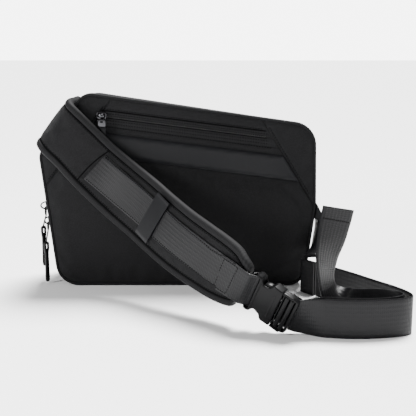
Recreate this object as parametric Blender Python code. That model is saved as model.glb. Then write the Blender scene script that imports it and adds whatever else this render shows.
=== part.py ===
"""Sling bag: a slim wedge-shaped body, a padded shoulder strap folded over its cut corner, a
side-release buckle and a flat webbing strap that stands on edge beside the bag.

Frame: +X right, +Y towards the back panel, +Z up. The origin is the middle of the body's flat
bottom. Sizes are written in millimetres and turned to metres once, by MM."""

import math

import bmesh
import bpy
from mathutils import Matrix, Vector

MM = 0.001
GAP = 0.3

# Body outline seen from the front: sharp corners (x, z) and the radius that rounds each.
OUTLINE = [
    (-138, 0, 24),
    (-156, 154, 16),
    (-103, 223.6, 20),
    (158, 187, 27),
    (160, 92, 60),
    (148, 0, 22),
]
CORNER_STEPS = 5

# Depths along Y, from the front face to the back.
FRONT_FACE = -37.0
PANEL_THICK = 3.0
PIPING_WIDTH = 3.0
GUSSET_FRONT = (-33.7, -27.0)
ZIP_FRONT_TAPE = (-26.7, -23.8)
ZIP_COIL = (-23.5, -20.5)
ZIP_REAR_TAPE = (-20.2, -17.3)
GUSSET_REAR = (-17.0, 32.7)
BACK_FOAM = (28.7, 32.7)
BACK_FACE = 36.0
GUSSET_WALL = 2.2
LINING_WALL = 0.9
POCKET_BACK = (-28.6, -27.2)
SLEEVE_DEPTH = (18.0, 19.2)
ZIP_START_SHARE = 0.45

# Lines across the front panel all fall to the right at the same slope; each is its height at x=0.
FALL = -0.128
FLAP_LINE = 193.0
COIL_LINE = 185.8
TAPE_LINE = 176.0
BAND_TOP = 167.0
BAND_BOTTOM = 140.5
LEFT_SEAM = ((-71, 217), (-153, 112))
RIGHT_SEAM = ((97, 193), (155, 98))

# Pocket zip.
POCKET_COIL_HALF = 0.9
POCKET_TAPE_FACE = -35.6
POCKET_TAPE_THICK = 1.0
SLIDER_X = -83.0
SLIDER_LIFT = 1.2

# Webbing and pad.
WEB = 38.0
WEB_THICK = 1.5
PAD_FOAM_THICK = 6.0
PAD_BACKING_THICK = 1.2
PAD_COVER_THICK = 0.8
BINDING_WIDTH = 4.5
BINDING_THICK = 8.4

# Route of the shoulder pad's middle plane: place, direction across it, and its full width.
PAD_ROUTE = [
    ((-135.6, 31, 190.2), (0.60, -0.05, 0.79), 62),
    ((-136, 10, 189.7), (0.60, -0.05, 0.79), 63),
    ((-136.2, -10, 189.4), (0.60, -0.07, 0.79), 64),
    ((-136.1, -24, 189.5), (0.60, -0.09, 0.79), 64),
    ((-135.5, -36, 189), (0.62, -0.11, 0.78), 64),
    ((-133.2, -43.5, 186), (0.65, -0.08, 0.75), 64),
    ((-128.2, -47.3, 180.8), (0.69, -0.03, 0.72), 64),
    ((-121.5, -48, 174.1), (0.70, 0.00, 0.71), 64),
    ((-111.7, -48.3, 164.3), (0.69, 0.01, 0.72), 64),
    ((-89, -51, 141), (0.66, 0.02, 0.75), 66),
    ((-61, -62.5, 118), (0.59, -0.05, 0.80), 69),
    ((-34, -84, 100), (0.52, -0.15, 0.84), 71),
    ((-15, -102, 87), (0.49, -0.21, 0.85), 72),
    ((7, -125, 74), (0.45, -0.27, 0.85), 73),
    ((28, -146, 64), (0.41, -0.31, 0.85), 73),
    ((44, -161, 57), (0.38, -0.34, 0.86), 72),
    ((60, -178, 51.4), (0.35, -0.37, 0.86), 66),
    ((67.2, -186.2, 48.5), (0.32, -0.39, 0.86), 56),
    ((73, -189.9, 45.4), (0.31, -0.40, 0.86), 42),
]
PAD_STEPS = 3
LAYER_GAP = 0.5
SHOULDER_PANEL_END = 0.475
WEB_START = 0.482
WEB_END = 0.945
KEEPER_SPAN = (0.655, 0.70)
DOUBLED_FROM = 0.865

# Side-release buckle: middle of the webbing bar's end, and its two main directions.
BUCKLE_END = (77, -192, 43)
BUCKLE_ALONG = (0.775, -0.43, -0.465)
BUCKLE_ACROSS = (0.31, -0.40, 0.86)
BUCKLE_WIDTH = 44.0
FEMALE_LENGTH = 33.0
FEMALE_THICK = 11.0
FEMALE_WALL = 1.8
MALE_END = 50.0
MALE_THICK = 6.0

# Webbing strap on the floor: middle line (x, y), from the folded end at the bag's side, round
# the turn and back to the buckle; then the free tail inside the turn.
BACK_RUN = [(156, -79), (174, -98), (191, -122), (207, -147), (221, -168), (230, -186)]
TURN_RUN = [(231.5, -190), (232, -199), (227, -206), (217, -211.5)]
FRONT_RUN = [(214, -212.6), (189, -216.5), (166, -216.3), (146, -213)]
TAIL_RUN = [(150, -206.5), (170, -210.5), (190, -211), (209, -207.5),
            (221, -201), (224, -192), (216, -182), (200, -176), (184, -178), (178, -180.5)]
STRAP_LIFT = 0.3

# Free end of the tail: place, direction across it.
RISER_ROUTE = [
    ((167, -185.9, 19.6), (-0.05, 0.0, 1.0)),
    ((160.5, -186.5, 24), (0.22, 0.42, 0.88)),
    ((154, -184, 37), (0.38, 0.80, 0.46)),
    ((151.5, -178, 52), (0.48, 0.86, 0.14)),
    ((153, -172, 68), (0.68, 0.73, 0.02)),
    ((157.5, -167, 86), (0.82, 0.55, -0.14)),
    ((161.5, -164, 102), (0.84, 0.46, -0.28)),
    ((164.5, -163, 116), (0.82, 0.42, -0.38)),
]

# Sliders and the buckle's springy prongs.
SLIDER_THICK = 2.4
BRIDGE_SPAN = 8.0
POCKET_BRIDGE_RISE = 4.6
UPPER_SLIDER = 93.0
LOWER_SLIDER = 75.0
PRONG_PIVOT = (31.5, 10.2)

BLACK = (0.012, 0.012, 0.013)
SOFT_BLACK = (0.02, 0.02, 0.021)
WEB_BLACK = (0.03, 0.03, 0.032)
SATIN_BLACK = (0.035, 0.035, 0.037)
PLASTIC_BLACK = (0.022, 0.022, 0.024)
GUNMETAL = (0.25, 0.25, 0.26)


def clear_scene():
    for item in list(bpy.data.objects):
        bpy.data.objects.remove(item)


def material(name, colour, roughness, metallic=0.0):
    made = bpy.data.materials.new(name)
    made.use_nodes = True
    shader = made.node_tree.nodes["Principled BSDF"]
    shader.inputs["Base Color"].default_value = (*colour, 1.0)
    shader.inputs["Roughness"].default_value = roughness
    shader.inputs["Metallic"].default_value = metallic
    return made


FINISHES = {
    "shell": (BLACK, 0.85, 0.0),
    "trim": (SOFT_BLACK, 0.7, 0.0),
    "satin": (SATIN_BLACK, 0.35, 0.0),
    "web": (WEB_BLACK, 0.45, 0.0),
    "lining": (SOFT_BLACK, 0.8, 0.0),
    "plastic": (PLASTIC_BLACK, 0.4, 0.0),
    "metal": (GUNMETAL, 0.3, 1.0),
}


def place_object(name, mesh_data, finish, smooth=False):
    """Turns a bmesh written in millimetres into a named object with its own material."""
    bmesh.ops.scale(mesh_data, vec=(MM, MM, MM), verts=mesh_data.verts)
    bmesh.ops.recalc_face_normals(mesh_data, faces=mesh_data.faces)
    mesh = bpy.data.meshes.new(name)
    mesh_data.to_mesh(mesh)
    mesh_data.free()
    made = bpy.data.objects.new(name, mesh)
    bpy.context.scene.collection.objects.link(made)
    mesh.materials.append(material(name, *FINISHES[finish]))
    if smooth:
        mesh.shade_smooth()
        mesh.set_sharp_from_angle(angle=math.radians(40))
    return made


def set_origin(item, pivot):
    """Moves an object's origin to its joint's axis without moving its shape."""
    shift = Vector(pivot) * MM
    item.data.transform(Matrix.Translation(-shift))
    item.location = shift


# ---------------------------------------------------------------- outlines


def inset_corners(corners, distance):
    """The same rounded polygon, drawn in by distance on every side."""
    count = len(corners)
    moved = []
    for i in range(count):
        before = Vector(corners[i - 1][:2])
        here = Vector(corners[i][:2])
        after = Vector(corners[(i + 1) % count][:2])
        edge_in = (here - before).normalized()
        edge_out = (after - here).normalized()
        normal_in = Vector((edge_in.y, -edge_in.x))
        normal_out = Vector((edge_out.y, -edge_out.x))
        miter = (normal_in + normal_out) / (1 + normal_in.dot(normal_out))
        spot = here + miter * distance
        moved.append((spot.x, spot.y, max(corners[i][2] - distance, 1.0)))
    return moved


def rounded(corners, steps=CORNER_STEPS):
    """Points (x, z) of a polygon whose corners are replaced by arcs."""
    count = len(corners)
    points = []
    for i in range(count):
        before = Vector(corners[i - 1][:2])
        here = Vector(corners[i][:2])
        after = Vector(corners[(i + 1) % count][:2])
        radius = corners[i][2]
        edge_in = (before - here).normalized()
        edge_out = (after - here).normalized()
        half = edge_in.angle(edge_out) / 2
        reach = radius / math.tan(half)
        centre = here + (edge_in + edge_out).normalized() * radius / math.sin(half)
        start = here + edge_in * reach - centre
        sweep = start.angle_signed(here + edge_out * reach - centre)
        for k in range(steps + 1):
            turned = start.copy()
            turned.rotate(Matrix.Rotation(-sweep * k / steps, 2))
            points.append((centre.x + turned.x, centre.y + turned.y))
    return points


def body_outline(inset=0.0):
    return rounded(inset_corners(OUTLINE, inset))


def slab_mesh(points, near, far):
    """A flat sheet of the outline, between two depths."""
    shape = bmesh.new()
    front = [shape.verts.new((x, near, z)) for x, z in points]
    shape.faces.new(front)
    grown = bmesh.ops.extrude_face_region(shape, geom=shape.faces[:])
    moved = [v for v in grown["geom"] if isinstance(v, bmesh.types.BMVert)]
    bmesh.ops.translate(shape, vec=(0, far - near, 0), verts=moved)
    bmesh.ops.recalc_face_normals(shape, faces=shape.faces)
    return shape


def ring_mesh(outer, inner, near, far):
    """A closed band between two outlines with the same number of points."""
    shape = bmesh.new()
    count = len(outer)
    loops = []
    for points, depth in ((outer, near), (outer, far), (inner, far), (inner, near)):
        loops.append([shape.verts.new((x, depth, z)) for x, z in points])
    for a, b in ((0, 1), (1, 2), (2, 3), (3, 0)):
        for i in range(count):
            j = (i + 1) % count
            shape.faces.new((loops[a][i], loops[a][j], loops[b][j], loops[b][i]))
    return shape


def strip_mesh(outer, inner, near, far):
    """An open length of band between two matching lines, closed at its ends."""
    shape = bmesh.new()
    loops = []
    for points, depth in ((outer, near), (outer, far), (inner, far), (inner, near)):
        loops.append([shape.verts.new((x, depth, z)) for x, z in points])
    for a, b in ((0, 1), (1, 2), (2, 3), (3, 0)):
        for i in range(len(outer) - 1):
            shape.faces.new((loops[a][i], loops[a][i + 1], loops[b][i + 1], loops[b][i]))
    shape.faces.new([loop[0] for loop in loops])
    shape.faces.new([loop[-1] for loop in reversed(loops)])
    return shape


def cut(shape, spot, keep_side):
    """Cuts a solid by the plane through spot, keeps the side that keep_side points to, and caps it."""
    geometry = shape.verts[:] + shape.edges[:] + shape.faces[:]
    bmesh.ops.bisect_plane(shape, geom=geometry, dist=0.0001, plane_co=spot,
                           plane_no=keep_side, clear_inner=True)
    rim = [e for e in shape.edges if e.is_boundary]
    bmesh.ops.holes_fill(shape, edges=rim, sides=0)


def cut_by_line(shape, start, end, side, gap=GAP / 2):
    """Cuts along the line start-end (x, z); side +1 keeps what lies left of its direction."""
    along = Vector((end[0] - start[0], end[1] - start[1])).normalized()
    left = Vector((-along.y, along.x)) * side
    spot = Vector(start) + left * gap
    cut(shape, (spot.x, 0, spot.y), (left.x, 0, left.y))


def cut_by_height(shape, height, side, gap=GAP / 2):
    """Cuts along the panel line at that height; side +1 keeps what is above it."""
    cut_by_line(shape, (0, height), (100, height + 100 * FALL), side, gap)


# ---------------------------------------------------------------- ribbons


def through(points, steps):
    """A smooth line through the points: each is a tuple of numbers, blended alike."""
    line = []
    last = len(points) - 1
    for i in range(last):
        p0 = points[max(i - 1, 0)]
        p1 = points[i]
        p2 = points[i + 1]
        p3 = points[min(i + 2, last)]
        for k in range(steps):
            t = k / steps
            line.append(tuple(
                0.5 * (2 * b + (c - a) * t + (2 * a - 5 * b + 4 * c - d) * t * t
                       + (3 * b - a - 3 * c + d) * t ** 3)
                for a, b, c, d in zip(p0, p1, p2, p3)))
    line.append(tuple(points[last]))
    return line


def frames_along(stations):
    """For stations (place, across): place, across and the face direction, all square to the run."""
    result = []
    last = len(stations) - 1
    for i, (spot, across) in enumerate(stations):
        ahead = stations[min(i + 1, last)][0] - stations[max(i - 1, 0)][0]
        along = ahead.normalized()
        across = (across - along * across.dot(along)).normalized()
        result.append((spot, across, along.cross(across).normalized()))
    return result


def ribbon_mesh(frames, edges, depths):
    """A closed flat strip. edges(i) gives the low and high edge across, depths(i) the back and
    face, both measured from the middle line at station i."""
    shape = bmesh.new()
    rows = []
    for i, (spot, across, face) in enumerate(frames):
        low, high = edges(i)
        back, front = depths(i)
        rows.append([
            shape.verts.new(spot + across * low + face * back),
            shape.verts.new(spot + across * high + face * back),
            shape.verts.new(spot + across * high + face * front),
            shape.verts.new(spot + across * low + face * front),
        ])
    for first, second in zip(rows, rows[1:]):
        for k, n, slant in ((0, 1, 0), (1, 2, 0), (2, 3, 1), (3, 0, 0)):
            if slant:
                shape.faces.new((first[k], first[n], second[k]))
                shape.faces.new((first[n], second[n], second[k]))
            else:
                shape.faces.new((first[k], first[n], second[n]))
                shape.faces.new((first[k], second[n], second[k]))
    shape.faces.new(rows[0])
    shape.faces.new(list(reversed(rows[-1])))
    return shape


def pad_stations():
    flat = [(*place, *across, width) for place, across, width in PAD_ROUTE]
    line = through(flat, PAD_STEPS)
    frames = frames_along([(Vector(s[0:3]), Vector(s[3:6])) for s in line])
    return frames, [s[6] for s in line]


def pad_span(first, last):
    """Stations between two shares of the pad's route."""
    frames, widths = pad_stations()
    end = len(frames) - 1
    low = round(first * end)
    high = round(last * end)
    return frames[low:high + 1], widths[low:high + 1]


def flat_run(points, steps, height):
    """Frames of webbing that stands on edge along points (x, y)."""
    line = through([(x, y, height) for x, y in points], steps)
    return frames_along([(Vector(p), Vector((0, 0, 1))) for p in line])


# ---------------------------------------------------------------- small solids


def box_mesh(low, high):
    shape = bmesh.new()
    bmesh.ops.create_cube(shape, size=1.0)
    size = [b - a for a, b in zip(low, high)]
    middle = [(a + b) / 2 for a, b in zip(low, high)]
    bmesh.ops.scale(shape, vec=size, verts=shape.verts)
    bmesh.ops.translate(shape, vec=middle, verts=shape.verts)
    return shape


def arch_mesh(span, rise, wire, turns=8, sides=6):
    """A round-wire arch in the XZ plane: feet on z=0 at x=-span/2 and x=+span/2."""
    shape = bmesh.new()
    rings = []
    for i in range(turns + 1):
        angle = math.pi * i / turns
        centre = Vector((-math.cos(angle) * span / 2, 0, math.sin(angle) * rise))
        outward = Vector((-math.cos(angle) * rise, 0, math.sin(angle) * span / 2)).normalized()
        ring = []
        for k in range(sides):
            turn = 2 * math.pi * k / sides
            offset = outward * math.cos(turn) + Vector((0, 1, 0)) * math.sin(turn)
            ring.append(shape.verts.new(centre + offset * wire / 2))
        rings.append(ring)
    for first, second in zip(rings, rings[1:]):
        for k in range(sides):
            n = (k + 1) % sides
            shape.faces.new((first[k], first[n], second[n], second[k]))
    shape.faces.new(rings[0])
    shape.faces.new(list(reversed(rings[-1])))
    return shape


def loop_mesh(half_width, half_height, wire, turns=16, sides=6):
    """A round-wire oval ring in the XZ plane, centred on the origin."""
    shape = bmesh.new()
    rings = []
    for i in range(turns):
        angle = 2 * math.pi * i / turns
        centre = Vector((math.cos(angle) * half_width, 0, math.sin(angle) * half_height))
        outward = Vector((math.cos(angle) * half_height, 0,
                          math.sin(angle) * half_width)).normalized()
        ring = []
        for k in range(sides):
            turn = 2 * math.pi * k / sides
            offset = outward * math.cos(turn) + Vector((0, 1, 0)) * math.sin(turn)
            ring.append(shape.verts.new(centre + offset * wire / 2))
        rings.append(ring)
    for i in range(turns):
        first = rings[i]
        second = rings[(i + 1) % turns]
        for k in range(sides):
            n = (k + 1) % sides
            shape.faces.new((first[k], first[n], second[n], second[k]))
    return shape


def plate_mesh(outline, low, high, hole=None):
    """A plate in the local XY plane between heights low and high, with one four-sided hole."""
    shape = bmesh.new()
    edges = []
    for points in (outline, hole):
        if points is None:
            continue
        ring = [shape.verts.new((x, y, low)) for x, y in points]
        edges += [shape.edges.new((a, b)) for a, b in zip(ring, ring[1:] + ring[:1])]
    bmesh.ops.triangle_fill(shape, use_beauty=True, use_dissolve=False, edges=edges)
    grown = bmesh.ops.extrude_face_region(shape, geom=shape.faces[:])
    moved = [v for v in grown["geom"] if isinstance(v, bmesh.types.BMVert)]
    bmesh.ops.translate(shape, vec=(0, 0, high - low), verts=moved)
    return shape


def move_mesh(shape, matrix):
    bmesh.ops.transform(shape, matrix=matrix, verts=shape.verts)
    return shape


# ---------------------------------------------------------------- body


def make_shell():
    place_object("back_panel",
                 slab_mesh(body_outline(PIPING_WIDTH + GAP), GUSSET_REAR[1] + GAP, BACK_FACE),
                 "shell")
    place_object("back_foam",
                 slab_mesh(body_outline(GUSSET_WALL + GAP), *BACK_FOAM), "lining")
    wall = (body_outline(), body_outline(GUSSET_WALL))
    place_object("gusset_front", ring_mesh(*wall, *GUSSET_FRONT), "shell")
    place_object("gusset_rear", ring_mesh(*wall, *GUSSET_REAR), "shell")
    lining = (body_outline(GUSSET_WALL + GAP), body_outline(GUSSET_WALL + GAP + LINING_WALL))
    place_object("main_lining", ring_mesh(*lining, POCKET_BACK[1] + GAP, BACK_FOAM[0] - GAP),
                 "lining")
    rim = (body_outline(0.4), body_outline(PIPING_WIDTH))
    place_object("piping_front", ring_mesh(*rim, FRONT_FACE + 0.5, GUSSET_FRONT[0] - GAP), "trim")
    place_object("piping_back", ring_mesh(*rim, GUSSET_REAR[1] + GAP, BACK_FACE - 0.3), "trim")
    place_object("pocket_back",
                 slab_mesh(body_outline(GUSSET_WALL + GAP), *POCKET_BACK), "lining")


def make_main_zip():
    """The main zip runs from low on the left side, over the top and onto the right side; the rest
    of the gap between the two gusset bands is a plain fabric strip."""
    outer = body_outline(0.3)
    inner = body_outline(GUSSET_WALL)
    per_corner = CORNER_STEPS + 1
    first = per_corner
    last = 4 * per_corner
    zips = []
    rests = []
    for line in (outer, inner):
        side = Vector(line[first]) - Vector(line[first - 1])
        low = Vector(line[first - 1]) + side * ZIP_START_SHARE
        under = low - side.normalized() * GAP
        down = Vector(line[last]) - Vector(line[last - 1])
        past = Vector(line[last - 1]) + down.normalized() * GAP
        zips.append([tuple(low)] + line[first:last])
        rests.append([tuple(past)] + line[last:] + line[:first] + [tuple(under)])
    for name, depth, finish in (("main_zip_tape_front", ZIP_FRONT_TAPE, "trim"),
                                ("main_zip_coil", ZIP_COIL, "plastic"),
                                ("main_zip_tape_rear", ZIP_REAR_TAPE, "trim")):
        place_object(name, strip_mesh(*zips, *depth), finish)
    place_object("gusset_bottom_strip",
                 strip_mesh(*rests, ZIP_FRONT_TAPE[0], ZIP_REAR_TAPE[1]), "shell")


def front_slab(near=FRONT_FACE, thick=PANEL_THICK):
    return slab_mesh(body_outline(PIPING_WIDTH + GAP), near, near + thick)


def between_seams(shape):
    """Keeps what lies between the two slanted corner seams."""
    cut_by_line(shape, *LEFT_SEAM, 1)
    cut_by_line(shape, *RIGHT_SEAM, -1)


def make_front():
    left = front_slab()
    cut_by_line(left, *LEFT_SEAM, -1)
    place_object("front_corner_left", left, "shell")
    right = front_slab()
    cut_by_line(right, *RIGHT_SEAM, 1)
    place_object("front_corner_right", right, "shell")
    levels = [
        ("front_top_band", FLAP_LINE, None, FRONT_FACE, PANEL_THICK, "shell"),
        ("pocket_zip_tape_upper", COIL_LINE + POCKET_COIL_HALF, FLAP_LINE,
         POCKET_TAPE_FACE, POCKET_TAPE_THICK, "trim"),
        ("pocket_zip_coil", COIL_LINE - POCKET_COIL_HALF, COIL_LINE + POCKET_COIL_HALF,
         POCKET_TAPE_FACE - 0.2, POCKET_TAPE_THICK + 0.4, "plastic"),
        ("pocket_zip_tape_lower", TAPE_LINE, COIL_LINE - POCKET_COIL_HALF,
         POCKET_TAPE_FACE, POCKET_TAPE_THICK, "trim"),
        ("front_mid_strip", BAND_TOP, TAPE_LINE, FRONT_FACE, PANEL_THICK, "shell"),
        ("satin_band", BAND_BOTTOM, BAND_TOP, FRONT_FACE - 1.0, PANEL_THICK + 1.0, "satin"),
        ("front_main_panel", None, BAND_BOTTOM, FRONT_FACE, PANEL_THICK, "shell"),
    ]
    for name, low, high, near, thick, finish in levels:
        shape = front_slab(near, thick)
        between_seams(shape)
        if low is not None:
            cut_by_height(shape, low, 1)
        if high is not None:
            cut_by_height(shape, high, -1)
        place_object(name, shape, finish)


def make_sleeve():
    """A padded sleeve inside the main compartment, open at its top."""
    place_object("tablet_sleeve",
                 box_mesh((-122, SLEEVE_DEPTH[0], 5), (132, SLEEVE_DEPTH[1], 124)), "lining")


# ---------------------------------------------------------------- shoulder pad


def even(low, high):
    """A constant pair for ribbon_mesh."""
    return lambda i: (low, high)


def pad_layer(name, finish, first, last, back, front, margin=0.0, width=None):
    """One flat layer of the pad; margin keeps its edges inside the pad's, width fixes it."""
    frames, widths = pad_span(first, last)

    def edges(i):
        half = (width if width else widths[i] - 2 * margin) / 2
        half = min(half, widths[i] / 2 - margin)
        return (-half, half)

    place_object(name, ribbon_mesh(frames, edges, even(back, front)), finish)


def pad_binding(name, side):
    """The rolled binding along one long edge."""
    frames, widths = pad_stations()

    def edges(i):
        outer = widths[i] / 2
        pair = (outer - BINDING_WIDTH, outer)
        return pair if side > 0 else (-pair[1], -pair[0])

    half = BINDING_THICK / 2
    place_object(name, ribbon_mesh(frames, edges, even(-half, half)), "trim")


def make_pad():
    inner = BINDING_WIDTH + LAYER_GAP
    foam = PAD_FOAM_THICK / 2
    face = foam + LAYER_GAP + PAD_COVER_THICK
    pad_layer("pad_foam", "lining", 0, 1, -foam, foam, inner)
    pad_layer("pad_backing", "trim", 0, 1, -foam - LAYER_GAP - PAD_BACKING_THICK, -foam - LAYER_GAP, inner)
    pad_layer("pad_shoulder_panel", "shell", 0, SHOULDER_PANEL_END, foam + LAYER_GAP, face, inner)
    pad_layer("pad_lower_panel", "shell", WEB_START, 1, foam + LAYER_GAP, face, inner)
    pad_binding("pad_binding_upper", 1)
    pad_binding("pad_binding_lower", -1)
    web_back = face + LAYER_GAP
    web_face = web_back + WEB_THICK
    pad_layer("pad_web", "web", WEB_START, WEB_END, web_back, web_face, inner, WEB)
    pad_layer("pad_keeper", "satin", *KEEPER_SPAN, web_face + LAYER_GAP, web_face + LAYER_GAP + 1.0, inner, 50)
    make_web_loop(web_face + LAYER_GAP + WEB_THICK / 2)
    make_pad_anchor()


def buckle_matrix():
    """Local axes: X along the strap, Y across it, Z out of the visible face."""
    along = Vector(BUCKLE_ALONG).normalized()
    across = Vector(BUCKLE_ACROSS)
    across = (across - along * across.dot(along)).normalized()
    face = along.cross(across)
    rotation = Matrix((along, across, face)).transposed().to_4x4()
    return Matrix.Translation(Vector(BUCKLE_END)) @ rotation


def local_stations(points):
    """Stations of webbing in the buckle's frame from (along, face) pairs."""
    matrix = buckle_matrix()
    across = matrix.to_3x3() @ Vector((0, 1, 0))
    return [(matrix @ Vector((x, 0, z)), across) for x, z in points]


def make_web_loop(lift):
    """The webbing's sewn-down end: on top of the pad's webbing, round the buckle's bar and back."""
    frames, widths = pad_span(DOUBLED_FROM, 0.94)
    stations = [(spot + face * lift, across) for spot, across, face in frames]
    stations += local_stations([
        (-4.5, 7.1), (-1.5, 5.6), (1.2, 3.5), (3.2, 2.7), (5.1, 2.0), (5.85, 0),
        (5.1, -2.0), (3.0, -2.6), (0.5, -2.1), (-1.2, 0), (-2.0, 2.2)])
    half = WEB / 2
    thick = WEB_THICK / 2
    frames = frames_along(stations)
    place_object("web_loop", ribbon_mesh(frames, even(-half, half), even(-thick, thick)), "web")


def make_pad_anchor():
    """The reinforcing patch that sews the pad's end onto the back panel."""
    base, across, width = PAD_ROUTE[0]
    across = Vector((across[0], 0, across[2])).normalized()
    inward = Vector((0, 1, 0)).cross(across)
    start = Vector((base[0], 0, base[2]))
    stations = []
    for reach, depth in ((0, 36.3), (0.9, 38.2), (3.5, 39.2), (9, 38.8), (18, 38), (30, 37.6)):
        stations.append((start + inward * reach + Vector((0, depth, 0)), across))
    frames = frames_along(stations)
    half = width / 2 - 4
    place_object("pad_anchor", ribbon_mesh(frames, even(-half, half), even(-0.9, 0.9)), "shell")


# ---------------------------------------------------------------- buckle


def notched_outline():
    """Half outline of the female part with its finger window, mirrored to both sides."""
    half = BUCKLE_WIDTH / 2
    side = [(FEMALE_LENGTH, half), (23, half), (20, 18.5), (16, 15.5), (12, 15.5), (9.5, 18.5),
            (8.5, half - 0.8), (1.8, half - 1.2)]
    return side + [(x, -y) for x, y in reversed(side)]


def cutter(name, low, high, matrix):
    shape = move_mesh(box_mesh(low, high), matrix)
    made = place_object(name, shape, "plastic")
    made.hide_render = True
    made.display_type = "WIRE"
    return made


def subtract(item, tool):
    boolean = item.modifiers.new("cut_" + tool.name, "BOOLEAN")
    boolean.operation = "DIFFERENCE"
    boolean.solver = "EXACT"
    boolean.object = tool


def make_buckle():
    matrix = buckle_matrix()
    thick = FEMALE_THICK / 2
    female = place_object("buckle_female",
                          move_mesh(plate_mesh(notched_outline(), -thick, thick), matrix),
                          "plastic")
    inside = thick - FEMALE_WALL
    subtract(female, cutter("cut_web_slot", (4.4, -19.6, -20), (8.6, 19.6, 20), matrix))
    subtract(female, cutter("cut_bar_top", (-5, -19.6, 1.3), (5, 19.6, 20), matrix))
    subtract(female, cutter("cut_bar_under", (-5, -19.6, -20), (5, 19.6, -1.3), matrix))
    subtract(female, cutter("cut_tunnel", (10.4, -16.6, -inside), (40, 16.6, inside), matrix))
    subtract(female, cutter("cut_windows", (10.4, -30, -inside), (21, 30, inside), matrix))
    make_male(matrix)


def make_male(matrix):
    half = BUCKLE_WIDTH / 2
    thick = MALE_THICK / 2
    start = FEMALE_LENGTH + GAP
    outline = [(start, half - 0.6), (start, -half + 0.6), (44, -half), (MALE_END - 1.2, -half + 2),
               (MALE_END, -half + 5), (MALE_END, half - 5), (MALE_END - 1.2, half - 2), (44, half)]
    male = place_object("buckle_male", move_mesh(plate_mesh(outline, -thick, thick), matrix),
                        "plastic")
    for name, low, high in (("cut_slot_near", 35.0, 36.5), ("cut_slot_middle", 40.2, 41.2),
                            ("cut_slot_far", 44.6, 47.4)):
        subtract(male, cutter(name, (low, -19.7, -20), (high, 19.7, 20), matrix))
    tongue = box_mesh((11.5, -5.5, -1.8), (FEMALE_LENGTH, 5.5, 1.8))
    place_object("buckle_guide_tongue", move_mesh(tongue, matrix), "plastic")
    prong = [(32.7, 8.2), (32.7, 12.2), (20.6, 15.8), (19.9, 18.9), (14, 17.6), (11.6, 14.2),
             (12.5, 11.8), (19.5, 11.4)]
    for name, side in (("buckle_prong_upper", 1), ("buckle_prong_lower", -1)):
        shape = plate_mesh([(x, y * side) for x, y in prong], -2.6, 2.6)
        item = place_object(name, move_mesh(shape, matrix), "plastic")
        set_origin(item, matrix @ Vector((*PRONG_PIVOT, 0)) if side > 0
                   else matrix @ Vector((PRONG_PIVOT[0], -PRONG_PIVOT[1], 0)))


# ---------------------------------------------------------------- strap


def web_object(name, frames, finish="web", half=WEB / 2, thick=WEB_THICK / 2):
    place_object(name, ribbon_mesh(frames, even(-half, half), even(-thick, thick)), finish)


def halfway(first, second):
    """The station midway between two, where the webbing turns from one lie to the other."""
    return (first[0] + second[0]) / 2, (first[1] + second[1]).normalized()


def make_strap():
    height = STRAP_LIFT + WEB / 2
    upright = Vector((0, 0, 1))
    fold = box_mesh((0, -2.6, STRAP_LIFT), (22, 2.6, STRAP_LIFT + WEB + 0.6))
    turn = Matrix.Rotation(math.atan2(-18, 13.5), 4, "Z")
    place_object("strap_fold", move_mesh(fold, Matrix.Translation((141.5, -59, 0)) @ turn), "web")
    web_object("strap_back_run", flat_run(BACK_RUN, 3, height))
    web_object("strap_turn", flat_run(TURN_RUN, 3, height))
    line = through([(x, y, height) for x, y in FRONT_RUN], 3)
    before = [(Vector(p), upright) for p in line]
    after = local_stations([(51.5, -5.6), (46, -4.9), (40, -4.8), (35, -4.8)])
    stations = before + [halfway(before[-1], after[0])] + after
    web_object("strap_front_run", frames_along(stations))
    before = local_stations([(39, -7.3), (46, -7.6), (51.5, -8.8)])
    line = through([(x, y, height) for x, y in TAIL_RUN], 3)
    after = [(Vector(p), upright) for p in line]
    stations = before + [halfway(before[-1], after[0])] + after
    web_object("tail_run", frames_along(stations))
    line = through([(*place, *across) for place, across in RISER_ROUTE], 3)
    frames = frames_along([(Vector(s[0:3]), Vector(s[3:6])) for s in line])
    web_object("tail_riser", frames)


def make_side_web():
    """The sewn tab on the right side and the webbing that falls from it to the strap's fold."""
    tab = [(160.5, 97), (164.5, 89.5), (168.4, 82), (166.8, 79.2), (158.9, 78.5), (160.5, 91)]
    place_object("side_tab", slab_mesh(tab, -40 + 1, -1), "web")
    route = [((164.4, -20, 77.2), (0, -1, 0), 34), ((164.4, -22, 68), (0, -1, 0.05), 33),
             ((163.6, -38, 55), (0.05, -0.95, 0.1), 26), ((158, -53, 46.5), (0.3, -0.9, 0.1), 20),
             ((151.5, -63, 42), (0.45, -0.85, 0), 17)]
    line = through([(*place, *across, width) for place, across, width in route], 3)
    frames = frames_along([(Vector(s[0:3]), Vector(s[3:6])) for s in line])
    shape = ribbon_mesh(frames, lambda i: (-line[i][6] / 2, line[i][6] / 2), even(-1.6, 1.6))
    place_object("side_web", shape, "web")


# ---------------------------------------------------------------- sliders and pulls


def zip_matrix_front():
    """Local X along the pocket zip, Y up across it, Z out of the face."""
    along = Vector((1, 0, FALL)).normalized()
    face = Vector((0, -1, 0))
    up = face.cross(along)
    height = COIL_LINE + FALL * SLIDER_X + SLIDER_LIFT
    rotation = Matrix((along, up, face)).transposed().to_4x4()
    return Matrix.Translation((SLIDER_X, FRONT_FACE + 0.1, height)) @ rotation


def zip_matrix_side(height):
    """Local X up the left side, Y to the back, Z out of the side."""
    low = Vector(OUTLINE[0][:2])
    high = Vector(OUTLINE[1][:2])
    rise = (high - low).normalized()
    spot = low + rise * ((height - low.y) / rise.y)
    along = Vector((rise.x, 0, rise.y))
    face = Vector((-rise.y, 0, rise.x))
    rotation = Matrix((along, face.cross(along), face)).transposed().to_4x4()
    middle = (ZIP_COIL[0] + ZIP_COIL[1]) / 2
    return Matrix.Translation((spot.x, middle, spot.y)) @ rotation


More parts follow.
